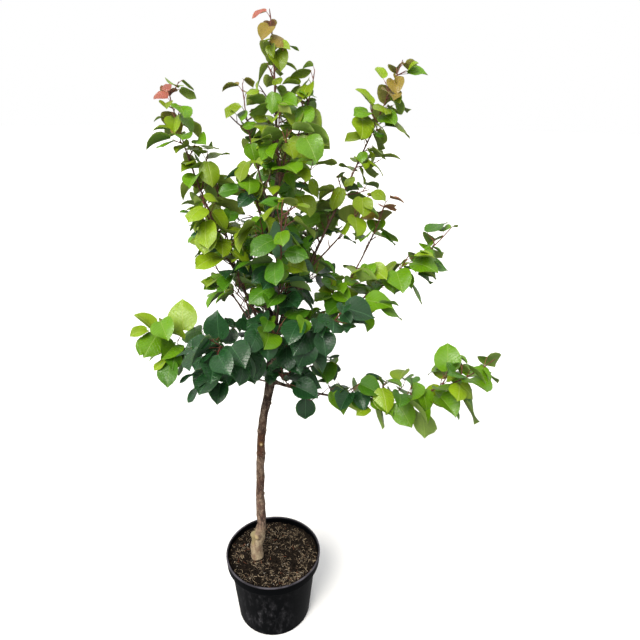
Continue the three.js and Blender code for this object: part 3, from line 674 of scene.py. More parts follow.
def growLeaves(spray, index):
    draw = drawsFrom(index + leafPlan["seed"])
    inTurn = sorted(enumerate(spray["shoots"]), key=lambda pair: pair[1]["kind"] != "tip")
    for shootIndex, shoot in inTurn:
        isTip, isStem = shoot["kind"] == "tip", shoot["kind"] == "stem"
        calm = leafHang["tipCalm"] if isTip else 1
        length = pathLength(shoot["line"])
        step = leafPlan["internode"] * (leafPlan["spurInternode"] if shoot["kind"] == "spur" else 1)
        first = leafPlan["stemFirst"] if isStem else growth["firstShare"] * step
        count = max(2, int((length - first) / step + 0.5))
        flush = draw()
        for i in range(count if isTip else 0, count + 1):
            share = i / count
            point, direction = along(shoot["line"], first + (length - leafPlan["beforeTip"] - first) * share)
            sizeDraw, droopDraw, headingDraw, rollDraw, leftOut = (draw() for _ in range(5))
            if leftOut < openings.get(spray["name"], 0) and not isTip:
                continue
            size = bladeLength(point[2], share, shoot, sizeDraw) * spray.get("leafShare", 1)
            tipShare = share ** leafHang["tipPower"]
            hang = droopOf(shoot, point[2], tipShare, droopDraw)
            roll = math.radians(leafHang["rollPlay"] * (rollDraw - 0.5)) * calm
            for attempt in range(leafRoom["attempts"]):
                turn = (spray["turn"] + shootIndex * growth["shootTurn"] + i * growth["turn"]
                        + attempt * leafRoom["turn"])
                petioleAim = petioleCourse(direction, turn, tipShare)
                heading = shoot.get("face", headingOf(petioleAim))
                heading += leafHang["headingPlay"] * (headingDraw - 0.5) * calm
                bladeAim = aim(heading, -(hang - leafRoom["lift"] * (attempt % 2)))
                leaf = shapeLeaf(point, petioleAim, bladeAim, roll, size * (1 - leafRoom["shrink"] * attempt))
                if leafFits(leaf, index, isTip):
                    keepLeaf({**leaf, "spray": spray["name"], "isStem": isStem, "flush": flush,
                              "share": shoot.get("share", share)})
                    break


for i, spray in enumerate(sprays):
    growLeaves(spray, i)
print(f"leaves: {len(leaves)} placed")


# Leaves: their blades

blade = {
    "stations": (0, 0.03, 0.11, 0.24, 0.4, 0.56, 0.72, 0.85, 0.945, 1),
    "halfWidths": (0, 0.16, 0.315, 0.42, 0.452, 0.43, 0.345, 0.215, 0.075, 0),
    "columns": 4, "thickness": 0.013, "thinning": 4, "tipFrom": 7, "baseSweep": 0.07, "sweepPower": 1.5,
    "sweepFade": 4, "waves": 6.5, "waveShift": 2, "wavePower": 3, "curlFrom": 0.6, "curlPower": 1.5,
    "twistLean": 0.3,
}
bladeForms = [  # fold along the midrib, arch, curl of the tip, wave, twist, breadth and point
    (0.3, 0.14, 0.3, 0.055, 0.2, 1.0, 1.0), (0.5, 0.12, 0.4, 0.04, -0.3, 1.05, 1.15),
    (-0.16, 0.26, 0.25, 0.06, 0.0, 0.97, 0.85), (0.66, 0.08, 0.35, 0.045, 0.3, 1.06, 1.1),
    (-0.26, 0.22, 0.4, 0.05, -0.3, 0.93, 0.9), (0.14, 0.36, 0.15, 0.07, 0.15, 1.08, 1.2),
    (0.4, -0.08, 0.55, 0.06, -0.1, 1.0, 0.8), (0.16, 0.1, 0.2, 0.065, 0.25, 1.03, 1.0),
]


def makeBlade(fold, arch, curl, wave, twist, broad, point):
    mesh = bmesh.new()
    rows = len(blade["stations"]) - 1
    halfWidths = [half * broad * (point if row >= blade["tipFrom"] else 1)
                  for row, half in enumerate(blade["halfWidths"])]
    uvLayer = mesh.loops.layers.uv.new("own")
    bmesh.ops.create_grid(mesh, x_segments=blade["columns"], y_segments=rows, size=1)
    for face in mesh.faces:  # the leaf laid flat: across it and along it
        for corner in face.loops:
            row = round((corner.vert.co.y + 1) / 2 * rows)
            corner[uvLayer].uv = (0.5 + corner.vert.co.x * halfWidths[row], blade["stations"][row])
    under = bmesh.ops.duplicate(mesh, geom=mesh.faces[:])["geom"]
    underFaces = [part for part in under if isinstance(part, bmesh.types.BMFace)]
    underVerts = {part for part in under if isinstance(part, bmesh.types.BMVert)}
    bmesh.ops.reverse_faces(mesh, faces=underFaces)
    for face in underFaces:
        face.material_index = 1
    for vert in mesh.verts:
        row = round((vert.co.y + 1) / 2 * rows)
        share, half, v = vert.co.x, halfWidths[row], blade["stations"][row]
        x = share * half
        sweep = blade["baseSweep"] * abs(share) ** blade["sweepPower"] * (1 - v) ** blade["sweepFade"]
        y = v - sweep * (half > 0)
        ripple = wave * abs(share) ** blade["wavePower"] * math.sin(
            blade["waves"] * v + (blade["waveShift"] if share > 0 else 0)) * (half > 0)
        curled = curl * max(0, v - blade["curlFrom"]) ** blade["curlPower"]
        z = fold * abs(x) + ripple - arch * v * v - curled
        body = blade["thickness"] * (1 - share * share) * min(1, half * blade["thinning"]) / 2
        z += -body if vert in underVerts else body
        turn = twist * v
        vert.co = (x * math.cos(turn) - z * math.sin(turn) * blade["twistLean"], y, z + x * math.sin(turn))
    bmesh.ops.remove_doubles(mesh, verts=mesh.verts, dist=1e-4)
    return readShape(mesh)


bladeShapes = [makeBlade(*form) for form in bladeForms]


def layBlade(leaf, shape):
    points = shape["points"] * leaf["length"]
    return (leaf["neck"] + points[:, :1] * leaf["side"] + points[:, 1:2] * leaf["aim"]
            + points[:, 2:] * leaf["normal"])


vein = {"pairs": 8, "rib": (0.006, 0.018), "slant": 0.75, "width": 0.09}


def makeVeins():  # a pale midrib with side veins that leave it at a slant, from a blade's own UV
    group, start, end = newGroup("veins", [("Pairs", "NodeSocketFloat", vein["pairs"])], ["Rib", "Veins"])
    place = put(group, "ShaderNodeUVMap", uv_map="own").outputs[0]
    split = put(group, "ShaderNodeSeparateXYZ", {0: place})
    off = sums(group, "ABSOLUTE", sums(group, "SUBTRACT", split.outputs[0], 0.5))
    lean = sums(group, "SUBTRACT", split.outputs[1], times(group, off, vein["slant"]))
    wave = sums(group, "PINGPONG", times(group, lean, start.outputs["Pairs"]), 0.5)
    group.links.new(spread(group, off, *vein["rib"], 1, 0), end.inputs["Rib"])
    group.links.new(spread(group, wave, 0.0, vein["width"], 1, 0), end.inputs["Veins"])
    return group


veins = makeVeins()
leafTints = {  # upper side, underside, midrib
    # deep: a dark green made darker still as painted shade, for leaves inside the crown
    "deep": ("1c4420", "4d6f4e", "4c7a4e"),
    "mid": ("42720f", "6f8c4a", "7a9c48"),
    "green": ("5f8c0e", "7f9a46", "90ab4e"),
    "olive": ("728a12", "8a9a48", "9cab50"),
    "fresh": ("7f9c16", "96aa50", "aebc5e"),
    "bronze": ("86742c", "8c8446", "a08050"),
    "coral": ("9e5a4b", "b88472", "a96458"),
}
leafFinish = {
    "patches": (38, 0.3, 0.7), "dark": 0.62, "darkShare": 0.5, "light": 1.26, "lightShare": 0.7,
    "veinShare": 0.16, "ribShare": 0.6, "veinHeight": 0.8, "veinDepth": -0.0004, "veinBump": 0.8,
    "puffDepth": 0.006, "puffBump": 0.5, "gloss": 0.3, "underGloss": 0.62, "glossBelow": 0.06,
    "glossAbove": 0.1, "shine": 0.4, "deepShine": 0.52, "underShine": 0.3,
    "glow": {"Subsurface_Weight": 0.25, "Subsurface_Scale": 0.0012, "Subsurface_Radius": (0.8, 1.0, 0.35)},
}


def leafLook(name, colour, ribColour, gloss, shine):
    look, tree, shader = newLook(name, Specular_IOR_Level=shine, **leafFinish["glow"])
    lines = put(tree, "ShaderNodeGroup", {"Pairs": vein["pairs"]}, node_tree=veins).outputs
    patches = mottled(tree, *leafFinish["patches"])
    tone, ribTone = paint(colour), paint(ribColour)
    for share, over, amount in (
            (patches["Mask"], paint(colour, leafFinish["dark"]), leafFinish["darkShare"]),
            (valueOf(tree, "spray"), paint(colour, leafFinish["light"]), leafFinish["lightShare"]),
            (lines["Veins"], ribTone, leafFinish["veinShare"]),
            (lines["Rib"], ribTone, leafFinish["ribShare"])):
        tone = blendColour(tree, share, tone, over, amount)
    rough = spread(tree, patches["Raw"], *noiseRange,
                   gloss - leafFinish["glossBelow"], gloss + leafFinish["glossAbove"])
    height = sums(tree, "ADD", lines["Rib"], times(tree, lines["Veins"], leafFinish["veinHeight"]))
    puffs = bump(tree, patches["Raw"], leafFinish["puffDepth"], leafFinish["puffBump"])
    ribs = bump(tree, height, leafFinish["veinDepth"], leafFinish["veinBump"], puffs)
    finishLook(tree, shader, tone, rough, ribs)
    return look


# Tints by where a leaf stands: painted light on leaves out and up, painted shade on leaves by the trunk and
# at the front, along with the young outer leaves' own lighter green
tinting = {
    "seed": 77, "middle": 10, "reach": 420, "depth": 0.7, "from": 880, "climb": 640, "climbShare": 0.86,
    "both": 0.8, "share": 0.2, "play": 0.28, "deepBelow": 0.34, "midBelow": 0.5, "tipFrom": 0.88,
    "youngFrom": 0.78,
    "tips": {"top": "coral", "left_high": "coral", "right_high": "bronze", "right_mid_2": "coral",
             "upper_left": "bronze"},
    # shade: painted light and painted shade by spray, darker for sprays at the front and inside the crown,
    # lighter for sprays out in the light
    "shade": {"front_left": -0.62, "front_right": -0.46, "right_low": -0.02, "left_low": -0.08,
              "left_low_2": -0.36, "left_low_3": -0.24, "left_high": 0.05, "left_high_2": 0.26,
              "left_high_3": 0.26, "right_high_2": 0.24, "right_mid": 0.34, "right_mid_2": 0.4,
              "right_mid_3": 0.16, "back_left": 0.24, "back_left_2": 0.2, "back_right": 0.2,
              "inner_3": -0.34},
    "mixes": {"inside": {"mid": 0.7, "green": 1}, "above": {"olive": 0.42, "fresh": 0.72, "green": 1},
              "outside": {"green": 0.5, "fresh": 0.78, "mid": 1}},
}


def tintOf(leaf, draw):  # young outer leaves are lighter in their own colour; leaves out and up are also painted light, and those by the trunk and at the front painted shade
    x, y, z = leaf["node"]
    reach = math.hypot(x - tinting["middle"], y * tinting["depth"]) / tinting["reach"]
    climb = (z - tinting["from"]) / tinting["climb"]
    light = (tinting["both"] * max(reach, climb * tinting["climbShare"]) + tinting["share"] * leaf["share"]
             + tinting["shade"].get(leaf["spray"], 0) + tinting["play"] * (leaf["flush"] - 0.5)
             + tinting["play"] * (draw() - 0.5))
    chance = draw()
    if leaf["spray"] in tinting["tips"] and leaf["isStem"] and leaf["share"] > tinting["youngFrom"]:
        return tinting["tips"][leaf["spray"]] if leaf["share"] > tinting["tipFrom"] else "bronze"
    if light < tinting["deepBelow"]:
        return "deep"
    mix = "inside" if light < tinting["midBelow"] else "above" if climb > reach else "outside"
    return next(tint for tint, upTo in tinting["mixes"][mix].items() if chance < upTo)


draw = drawsFrom(tinting["seed"])
leafCopies = {tint: [] for tint in leafTints}
for leaf in leaves:
    shape = bladeShapes[int(draw() * len(bladeShapes))]
    leafCopies[tintOf(leaf, draw)].append((shape, layBlade(leaf, shape), {"spray": draw()}))
for tint, copies in leafCopies.items():
    upper, under, rib = leafTints[tint]
    shine = leafFinish["deepShine" if tint == "deep" else "shine"]
    looks = [leafLook(f"{tint}Upper", upper, rib, leafFinish["gloss"], shine),
             leafLook(f"{tint}Under", under, rib, leafFinish["underGloss"], leafFinish["underShine"])]
    addPiece(joinCopies(f"leaves_{tint}", copies), looks, massNodes)
    print(f"leaves: {len(copies)} {tint}")


# Petioles and buds

petiole = {"rings": 5, "sides": 4, "radius": 0.95, "neckRadius": 0.6, "footSwell": 1.5, "bow": 0.45,
           "intoBlade": 0.03, "leastSize": 0.6, "sizePlay": 0.4}
bud = {"length": 3.4, "radius": 1.25, "lean": 0.55, "out": 0.75, "segments": (5, 4)}


def petiolePath(leaf):
    t = np.linspace(0, 1, petiole["rings"])[:, None]
    reach = np.linalg.norm(leaf["neck"] - leaf["node"])
    end = leaf["neck"] + leaf["aim"] * leaf["length"] * petiole["intoBlade"]
    leave = leaf["petioleAim"] * reach * (1 + petiole["bow"])
    return curveBetween(t, leaf["node"], leave, end, leaf["aim"] * reach * (1 - petiole["bow"]))


def makeBud():
    mesh = bmesh.new()
    bmesh.ops.create_uvsphere(mesh, u_segments=bud["segments"][0], v_segments=bud["segments"][1], radius=1)
    return readShape(mesh)


petioleRadii = np.linspace(petiole["radius"], petiole["neckRadius"], petiole["rings"])
petioleRadii[0] *= petiole["footSwell"]
petioleCopies, budCopies = [], []
budShape = makeBud()
for leaf in leaves:
    size = petiole["leastSize"] + petiole["sizePlay"] * leaf["length"] / leafPlan["low"]
    shape, points = bendTube(petiolePath(leaf), petioleRadii * size, petiole["sides"])
    petioleCopies.append((shape, points, {"spray": leaf["share"]}))
    course = unit(leaf["petioleAim"] + np.array((0, 0, bud["lean"])))
    level, over = frameOf(course)
    points = budShape["points"] * (bud["radius"] * size, bud["radius"] * size, bud["length"] * size)
    centre = leaf["node"] + course * bud["length"] * bud["out"]
    points = centre + points[:, :1] * level + points[:, 1:2] * over + points[:, 2:] * course
    budCopies.append((budShape, points, {"spray": leaf["share"]}))
twigFinish = {  # bark of this year's growth: old tone, young tone, roughness, depth of its relief
    "petioles": ("7a3f3c", "9c5a48", 0.5, 0.0002), "buds": ("4a2c20", "6b3527", 0.6, 0.0003),
    "shoots": ("5d4a3b", "7a4336", 0.55, 0.0003),
    "patches": (260, 0.4, 0.62, (1, 1, 0.4)), "dark": (0.02, 0.012, 0.01, 1), "darkShare": 0.45, "play": 0.1,
}


def twigLook(name):  # darker and duller where it is older
    old, young, rough, depth = twigFinish[name]
    look, tree, shader = newLook(name)
    patches = mottled(tree, *twigFinish["patches"])
    tone = blendColour(tree, valueOf(tree, "spray"), paint(old), paint(young))
    dark = blendColour(tree, twigFinish["darkShare"], tone, twigFinish["dark"])
    dull = (rough - twigFinish["play"], rough + twigFinish["play"])
    finishLook(tree, shader, blendColour(tree, patches["Mask"], tone, dark),
               spread(tree, patches["Raw"], *noiseRange, *dull), bump(tree, patches["Raw"], depth))
    return look


addPiece(joinCopies("petioles", petioleCopies), [twigLook("petioles")])
addPiece(joinCopies("buds", budCopies), [twigLook("buds")])


# Shoots

shootForm = {
    "step": 7, "sides": 7, "tip": 1.15, "taper": 0.8, "end": 0.55, "zigzag": 0.7, "swell": 0.22,
    "swellPower": 4, "easeIn": 6, "easeOut": 0.5, "stemAge": (0.15, 0.85), "sideAge": 0.75,
}


def shootTube(shoot, phase):
    length = pathLength(shoot["line"])
    line, share = smoothPath(shoot["line"], shootForm["step"])
    if len(line) < 3:
        line, share = smoothPath(shoot["line"], length / 3)
    beat = share * length / leafPlan["internode"] * math.pi
    level, _ = frameOf(unit(line[-1] - line[0]))
    ease = np.minimum(1, share * shootForm["easeIn"]) * (1 - shootForm["easeOut"] * share)
    line = line + (shootForm["zigzag"] * ease * np.sin(beat + phase))[:, None] * level
    radii = shoot["foot"] + (shootForm["tip"] - shoot["foot"]) * share ** shootForm["taper"]
    swell = np.maximum(0, np.cos(beat * 2)) ** shootForm["swellPower"]
    radii = radii * (1 + shootForm["swell"] * swell * ease)
    radii[-1] *= shootForm["end"]
    shape, points = bendTube(line, radii, shootForm["sides"])
    foot, climb = shootForm["stemAge"]
    age = (foot + climb * share)[shape["ring"]] if shoot["kind"] == "stem" else shootForm["sideAge"]
    return shape, points, {"spray": age}


shootCopies = [shootTube(shoot, i) for spray in sprays for i, shoot in enumerate(spray["shoots"])]
addPiece(joinCopies("shoots", shootCopies), [twigLook("shoots")], massNodes)
print(f"shoots: {len(shootCopies)} with their petioles and buds")


# Trunk and boughs: one skin with the bark's relief

stub = {
    "height": 240, "heading": -90, "rise": (88, 84, 58), "length": 55, "radius": 14, "taper": 0.075,
    "reach": 1, "steps": 3,
}
stubLine = growPath(trunkAt(stub["height"]) + (stub["reach"], 0, 0), stub["heading"], 0, stub["rise"],
                    stub["length"], stub["steps"])
knots = {  # height: heading and radius
    294: (-152, 10.5), 430: (60, 5.2), 611: (178, 4.6), 738: (84, 4.4), 952: (95, 7.5),
}
skin = {
    "sides": 24, "boughSides": 14, "boughStep": 6, "voxel": 1.35, "smooth": 4, "collar": 0.45,
    "collarReach": 9, "sink": 3, "footSwell": 1.04, "knotSegments": (16, 12), "knotStretch": 1.3,
    "knotSunk": 1.5,
}


def barkCore():
    line = np.vstack((trunkLine[0] - (0, 0, skin["sink"]), trunkLine))
    radii = np.concatenate(([trunkRadii[0] * skin["footSwell"]], trunkRadii))
    tubes = [bendTube(line, radii, skin["sides"])]
    for line, ends in limbs[1:]:
        line, share = smoothPath(line, skin["boughStep"])
        away = np.maximum(0, share * pathLength(line) - trunkRadiusAt(line[0][2]))
        radii = np.interp(share, (0, 1), (ends[0], ends[-1]))
        radii = radii * (1 + skin["collar"] * np.exp(-away / skin["collarReach"]))
        tubes.append(bendTube(line, radii, skin["boughSides"]))
    radii = stub["radius"] * (1 - stub["taper"] * np.arange(len(stubLine)))
    tubes.append(bendTube(stubLine, radii, skin["sides"]))
    for height, (heading, radius) in knots.items():
        ball = bmesh.new()
        around, upwards = skin["knotSegments"]
        bmesh.ops.create_uvsphere(ball, u_segments=around, v_segments=upwards, radius=radius)
        bmesh.ops.scale(ball, vec=(1, 1, skin["knotStretch"]), verts=ball.verts)
        place = trunkAt(height) + aim(heading, 0) * (trunkRadiusAt(height) - skin["knotSunk"])
        bmesh.ops.translate(ball, vec=place, verts=ball.verts)
        shape = readShape(ball)
        tubes.append((shape, shape["points"]))
    return joinCopies("barkCore", [(*tube, {}) for tube in tubes])


def remeshed(mesh, voxel, smoothing):
    rough = bpy.data.objects.new(mesh.name, mesh)
    bpy.context.collection.objects.link(rough)
    remesh = rough.modifiers.new("remesh", "REMESH")
    remesh.mode, remesh.voxel_size, remesh.use_smooth_shade = "VOXEL", voxel * mm, True
    soften = rough.modifiers.new("soften", "SMOOTH")
    soften.factor, soften.iterations = 0.5, smoothing
    made = bpy.data.meshes.new_from_object(rough.evaluated_get(bpy.context.evaluated_depsgraph_get()))
    bpy.data.objects.remove(rough)
    bpy.data.meshes.remove(mesh)
    return made


def nearest(points, line):  # distance from a line, and the share along it, for many points
    best = np.full(len(points), 1e9)
    share = np.zeros(len(points))
    for i in range(len(line) - 1):
        span = line[i + 1] - line[i]
        t = np.clip(((points - line[i]) @ span) / span.dot(span), 0, 1)
        distance = np.linalg.norm(points - line[i] - t[:, None] * span, axis=1)
        closer = distance < best
        best[closer] = distance[closer]
        share[closer] = ((i + t) / (len(line) - 1))[closer]
    return best, share


def fall(value, low, high):  # 1 below low, 0 above high, smooth between
    t = np.clip((value - low) / (high - low), 0, 1)
    return 1 - t * t * (3 - 2 * t)


relief = {
    "trunkEdge": (2.5, 7), "stubEdge": (0.98, 1.15), "stubSide": (-16, -6),
    "cutFrom": 0.985, "cutUpward": 0.6,
    "noises": (((1, 1, 0.6), 17), ((0.5, 0.5, 1.6), 6), ((1, 1, 0.2), 8)),  # of the lumps, ripples and cracks
    "lump": 1.5, "lumpLeast": 0.25, "lumpCalm": 0.55, "lumpCalmBelow": (260, 330),
    "ripple": 0.5, "rippleLeast": 0.4, "swell": 1.1,
    "fissure": 1.1, "fissureWidth": 0.16, "fissureBelow": (300, 560), "fissureCalm": 0.7,
    "fissureCalmBelow": (290, 350),
    "ringHeights": (574, 650), "ringRise": 1.1, "ringWidth": 5,
    "bandFoot": (566, 592), "bandTop": (630, 656), "bandWander": 6, "bandSunk": 0.4,
    "knotOut": 0.5, "knotSquash": (1, 1, 0.8), "knotEdge": (1.5, 0.95), "haloUpTo": 6, "halo": 0.75,
    "haloEdge": (0.9, 2), "footBelow": (285, 345), "footWander": 14, "climb": (205, 1130),
}


def reliefOf(mesh):
    def read(key):
        values = np.empty(len(mesh.vertices) * 3, np.float32)
        mesh.vertices.foreach_get(key, values)
        return values.reshape(-1, 3)

    points, normals = read("co").astype(float) / mm, read("normal")
    height = points[:, 2]
    fromTrunk, _ = nearest(points, trunkLine)
    onTrunk = fall(fromTrunk - trunkRadiusAt(height), *relief["trunkEdge"])
    fromStub, stubShare = nearest(points, stubLine)
    stubEdge, stubEnd = relief["stubEdge"]
    fromAxis = points[:, 0] - trunkMeasure(height, 1)
    onStub = fall(fromStub, stub["radius"] * stubEdge, stub["radius"] * stubEnd)
    onStub *= fall(fromAxis, *relief["stubSide"])
    cut = onStub * (stubShare > relief["cutFrom"]) * (normals[:, 2] > relief["cutUpward"])
    old = fall(height, *relief["fissureBelow"]) * onTrunk
    lumps, ripples, cracks = (
        np.array([noise.noise(Vector(place) / size) for place in (points * stretch).tolist()])
        for stretch, size in relief["noises"])
    crack = fall(np.abs(cracks), 0.0, relief["fissureWidth"]) * old
    lumpLeast, rippleLeast = relief["lumpLeast"], relief["rippleLeast"]
    shift = relief["lump"] * lumps * (lumpLeast + (1 - lumpLeast) * onTrunk)
    shift *= 1 - relief["lumpCalm"] * fall(height, *relief["lumpCalmBelow"])
    shift += relief["ripple"] * ripples * (rippleLeast + (1 - rippleLeast) * onTrunk)
    shift += relief["swell"] * onTrunk
    calm = 1 - relief["fissureCalm"] * fall(height, *relief["fissureCalmBelow"])
    shift -= relief["fissure"] * crack * (1 - onStub) * calm
    for ring in relief["ringHeights"]:
        shift += relief["ringRise"] * onTrunk * np.exp(-((height - ring) / relief["ringWidth"]) ** 2)
    wandering = height + relief["bandWander"] * lumps
    band = fall(wandering, *relief["bandTop"]) * (1 - fall(wandering, *relief["bandFoot"])) * onTrunk
    shift -= relief["bandSunk"] * band
    shift *= 1 - cut
    points += normals * shift[:, None]
    mesh.vertices.foreach_set("co", (points * mm).ravel().astype(np.float32))
    knotMask, halo = np.zeros(len(points)), np.zeros(len(points))
    for knotHeight, (heading, radius) in knots.items():
        out = trunkRadiusAt(knotHeight) + radius * relief["knotOut"]
        place = trunkAt(knotHeight) + aim(heading, 0) * out
        away = np.linalg.norm((points - place) * relief["knotSquash"], axis=1)
        knotMask = np.maximum(knotMask, fall(away, relief["knotEdge"][0], radius * relief["knotEdge"][1]))
        if radius < relief["haloUpTo"]:
            start, end = relief["haloEdge"]
            halo = np.maximum(halo, relief["halo"] * fall(away, radius * start, radius * end))
    foot, rise = relief["climb"]
    masks = {
        "crack": crack, "stub": onStub, "cut": cut, "band": band, "knot": knotMask, "halo": halo,
        "foot": fall(height + relief["footWander"] * lumps, *relief["footBelow"]) * onTrunk,
        "bough": 1 - onTrunk, "climb": np.clip((height - foot) / rise, 0, 1),
    }
    for name, values in masks.items():
        addValues(mesh, name, values)
    mesh.update()
    return mesh


barkTones = {
    # upper is painted shade of the crown: the bark near black up under it
    "lower": "72554a", "middle": "5b4132", "upper": "241a15", "bough": "4a332c", "light": "b49c84",
    "dark": "1c120e", "band": "5f3a24", "foot": "b8a688", "footDark": "876a56", "stub": "a8986f",
    "cut": "8d8160", "knot": "c9b486", "lenticel": "c2b098", "halo": "7a5526",
}
barkFinish = {
    "middleFrom": (0.14, 0.3), "upperFrom": (0.4, 0.56), "patches": (70, 0.44, 0.6, (1, 1, 0.5)),
    "light": 0.6, "band": 0.75, "flecks": (150, 0.44, 0.56, (1, 1, 0.7)), "fleckDark": 0.6,
    "worn": (0.9, 0.35), "fine": (420, 0.4, 0.62, (0.6, 0.6, 1.6)), "fineShare": 0.5, "footShare": 0.8,
    "lenticelSize": (130, 130, 330), "lenticelEdge": (0.16, 0.28), "lenticelFew": (90, 0.48, 0.6),
    "lenticelShare": 0.8, "crackShade": (0.85, 0.12), "rough": (0.72, 0.95), "fineHeight": 0.8,
    "lenticelHeight": 0.7, "depth": 0.0009, "bump": 0.9,
}


def barkLook():
    look, tree, shader = newLook("bark", Specular_IOR_Level=0.35)
    mask = {name: valueOf(tree, name) for name in (
        "climb", "bough", "band", "foot", "stub", "crack", "halo", "knot", "cut")}
    tones = {name: paint(code) for name, code in barkTones.items()}
    patches, flecks, fine, few = (mottled(tree, *barkFinish[key]) for key in (
        "patches", "flecks", "fine", "lenticelFew"))
    middle, upper = (spread(tree, mask["climb"], *barkFinish[key]) for key in ("middleFrom", "upperFrom"))
    tone = blendColour(tree, middle, tones["lower"], tones["middle"])
    # painted shade of the crown: the bark darkens towards the crown
    tone = blendColour(tree, upper, tone, tones["upper"])
    tone = blendColour(tree, mask["bough"], tone, tones["bough"])
    tone = blendColour(tree, patches["Mask"], tone, tones["light"], barkFinish["light"])
    tone = blendColour(tree, mask["band"], tone, tones["band"], barkFinish["band"])
    footTone = blendColour(tree, patches["Mask"], tones["foot"], tones["footDark"], barkFinish["footShare"])
    tone = blendColour(tree, mask["foot"], tone, footTone)
    tone = blendColour(tree, mask["stub"], tone, tones["stub"])
    dark = blendColour(tree, barkFinish["fleckDark"], tone, tones["dark"])
    worn = times(tree, flecks["Mask"], spread(tree, mask["foot"], 0, 1, *barkFinish["worn"]))
    tone = blendColour(tree, worn, tone, dark)
    tone = blendColour(tree, fine["Mask"], tone, dark, barkFinish["fineShare"])
    place = put(tree, "ShaderNodeTexCoord").outputs["Object"]
    squat = put(tree, "ShaderNodeVectorMath", {0: place, 1: barkFinish["lenticelSize"]}, operation="MULTIPLY")
    cells = put(tree, "ShaderNodeTexVoronoi", {"Vector": squat.outputs[0], "Scale": 1.0, "Randomness": 1.0})
    lenticels = times(tree, spread(tree, cells.outputs["Distance"], *barkFinish["lenticelEdge"], 1, 0),
                      few["Mask"], spread(tree, mask["stub"], 0, 1, 1, 0))
    tone = blendColour(tree, lenticels, tone, tones["lenticel"], barkFinish["lenticelShare"])
    # the fissures painted near black: partly their own dark, partly painted shade in them, less on the foot
    crackShade = times(tree, mask["crack"], spread(tree, mask["foot"], 0, 1, *barkFinish["crackShade"]))
    tone = blendColour(tree, crackShade, tone, tones["dark"])
    for name in ("halo", "knot", "cut"):
        tone = blendColour(tree, mask[name], tone, tones[name])
    height = sums(tree, "ADD", times(tree, fine["Raw"], barkFinish["fineHeight"]),
                  times(tree, lenticels, barkFinish["lenticelHeight"]))
    finishLook(tree, shader, tone, spread(tree, fine["Raw"], *noiseRange, *barkFinish["rough"]),
               bump(tree, height, barkFinish["depth"], barkFinish["bump"]))
    return look


barkMesh = reliefOf(remeshed(barkCore(), skin["voxel"], skin["smooth"]))
barkMesh.name = "trunkAndBoughs"
barkMesh.shade_smooth()
addPiece(barkMesh, [barkLook()], ["trunk", *boughNodes])
print(f"bark: {len(barkMesh.polygons)} faces")


# Pot

pot = {
    "rimRadius": 140, "height": 227, "bandHeight": 29, "lip": 4, "lipReach": 2, "baseRadius": 108.5,
    "shoulderRadius": 126, "shoulderDrop": 12, "wall": 2.4, "floor": 3, "steps": 144, "footRing": 6,
    "footRise": 1.6, "ringSlope": 2, "footEdge": 3, "footHeight": 5, "flare": 1.2, "ledge": 1,
    "rounding": {3: 1.2, 4: 2.0, 5: 5.0, 7: 0.7, 9: 0.5, 10: 1.2, 11: 0.8},  # at these corners of the profile
    "roundSegments": 3, "sharpAngle": 38, "holes": 6, "holeRadius": 7, "holeCircle": 84, "holeSides": 24,
}


def potProfile():
    bandFoot = pot["height"] - pot["bandHeight"]
    shoulder = bandFoot - pot["shoulderDrop"]
    outer = pot["rimRadius"] - pot["lipReach"]
    inner = outer - pot["wall"]
    base = pot["baseRadius"]
    foot = base - pot["footRing"]
    lip, ledge = pot["height"] - pot["lip"], pot["ledge"]
    return [
        (0, pot["footRise"]), (foot - pot["ringSlope"], pot["footRise"]), (foot, 0),
        (base - pot["footEdge"], 0), (base, pot["footHeight"]), (pot["shoulderRadius"], shoulder),
        (outer - pot["flare"], bandFoot - ledge), (outer, bandFoot), (outer, lip - ledge),
        (pot["rimRadius"], lip), (pot["rimRadius"], pot["height"]), (inner, pot["height"]),
        (inner, bandFoot + ledge), (pot["shoulderRadius"] - pot["wall"], shoulder),
        (base - pot["wall"] - ledge, pot["floor"]), (0, pot["floor"]),
    ]


def makePot():
    mesh = bmesh.new()
    corners = [mesh.verts.new((radius * mm, 0, height * mm)) for radius, height in potProfile()]
    for first, second in zip(corners, corners[1:]):
        mesh.edges.new((first, second))
    bmesh.ops.spin(mesh, geom=mesh.verts[:] + mesh.edges[:], cent=(0, 0, 0), axis=(0, 0, 1), dvec=(0, 0, 0),
                   angle=2 * math.pi, steps=pot["steps"], use_merge=True, use_duplicate=False)
    bmesh.ops.remove_doubles(mesh, verts=mesh.verts, dist=1e-5)
    bmesh.ops.recalc_face_normals(mesh, faces=mesh.faces)
    for index, offset in pot["rounding"].items():
        corner = [measure * mm for measure in potProfile()[index]]
        ring = [edge for edge in mesh.edges if all(
            math.dist((math.hypot(vert.co.x, vert.co.y), vert.co.z), corner) < 2e-5 for vert in edge.verts)]
        bmesh.ops.bevel(mesh, geom=ring, offset=offset * mm, offset_type="OFFSET", affect="EDGES",
                        segments=pot["roundSegments"], profile=0.5, material=-1)
    made = bpy.data.meshes.new("potBody")
    mesh.to_mesh(made)
    mesh.free()
    return made


def makeDrains():
    drains = bmesh.new()
    for i in range(pot["holes"]):
        turn = (i + 0.5) * 2 * math.pi / pot["holes"]
        place = pot["holeCircle"] * mm * Vector((math.cos(turn), math.sin(turn), 0))
        radius = pot["holeRadius"] * mm
        bmesh.ops.create_cone(drains, cap_ends=True, segments=pot["holeSides"], radius1=radius,
                              radius2=radius, depth=4 * pot["floor"] * mm, matrix=Matrix.Translation(place))
    made = bpy.data.meshes.new("drains")
    drains.to_mesh(made)
    drains.free()
    return made


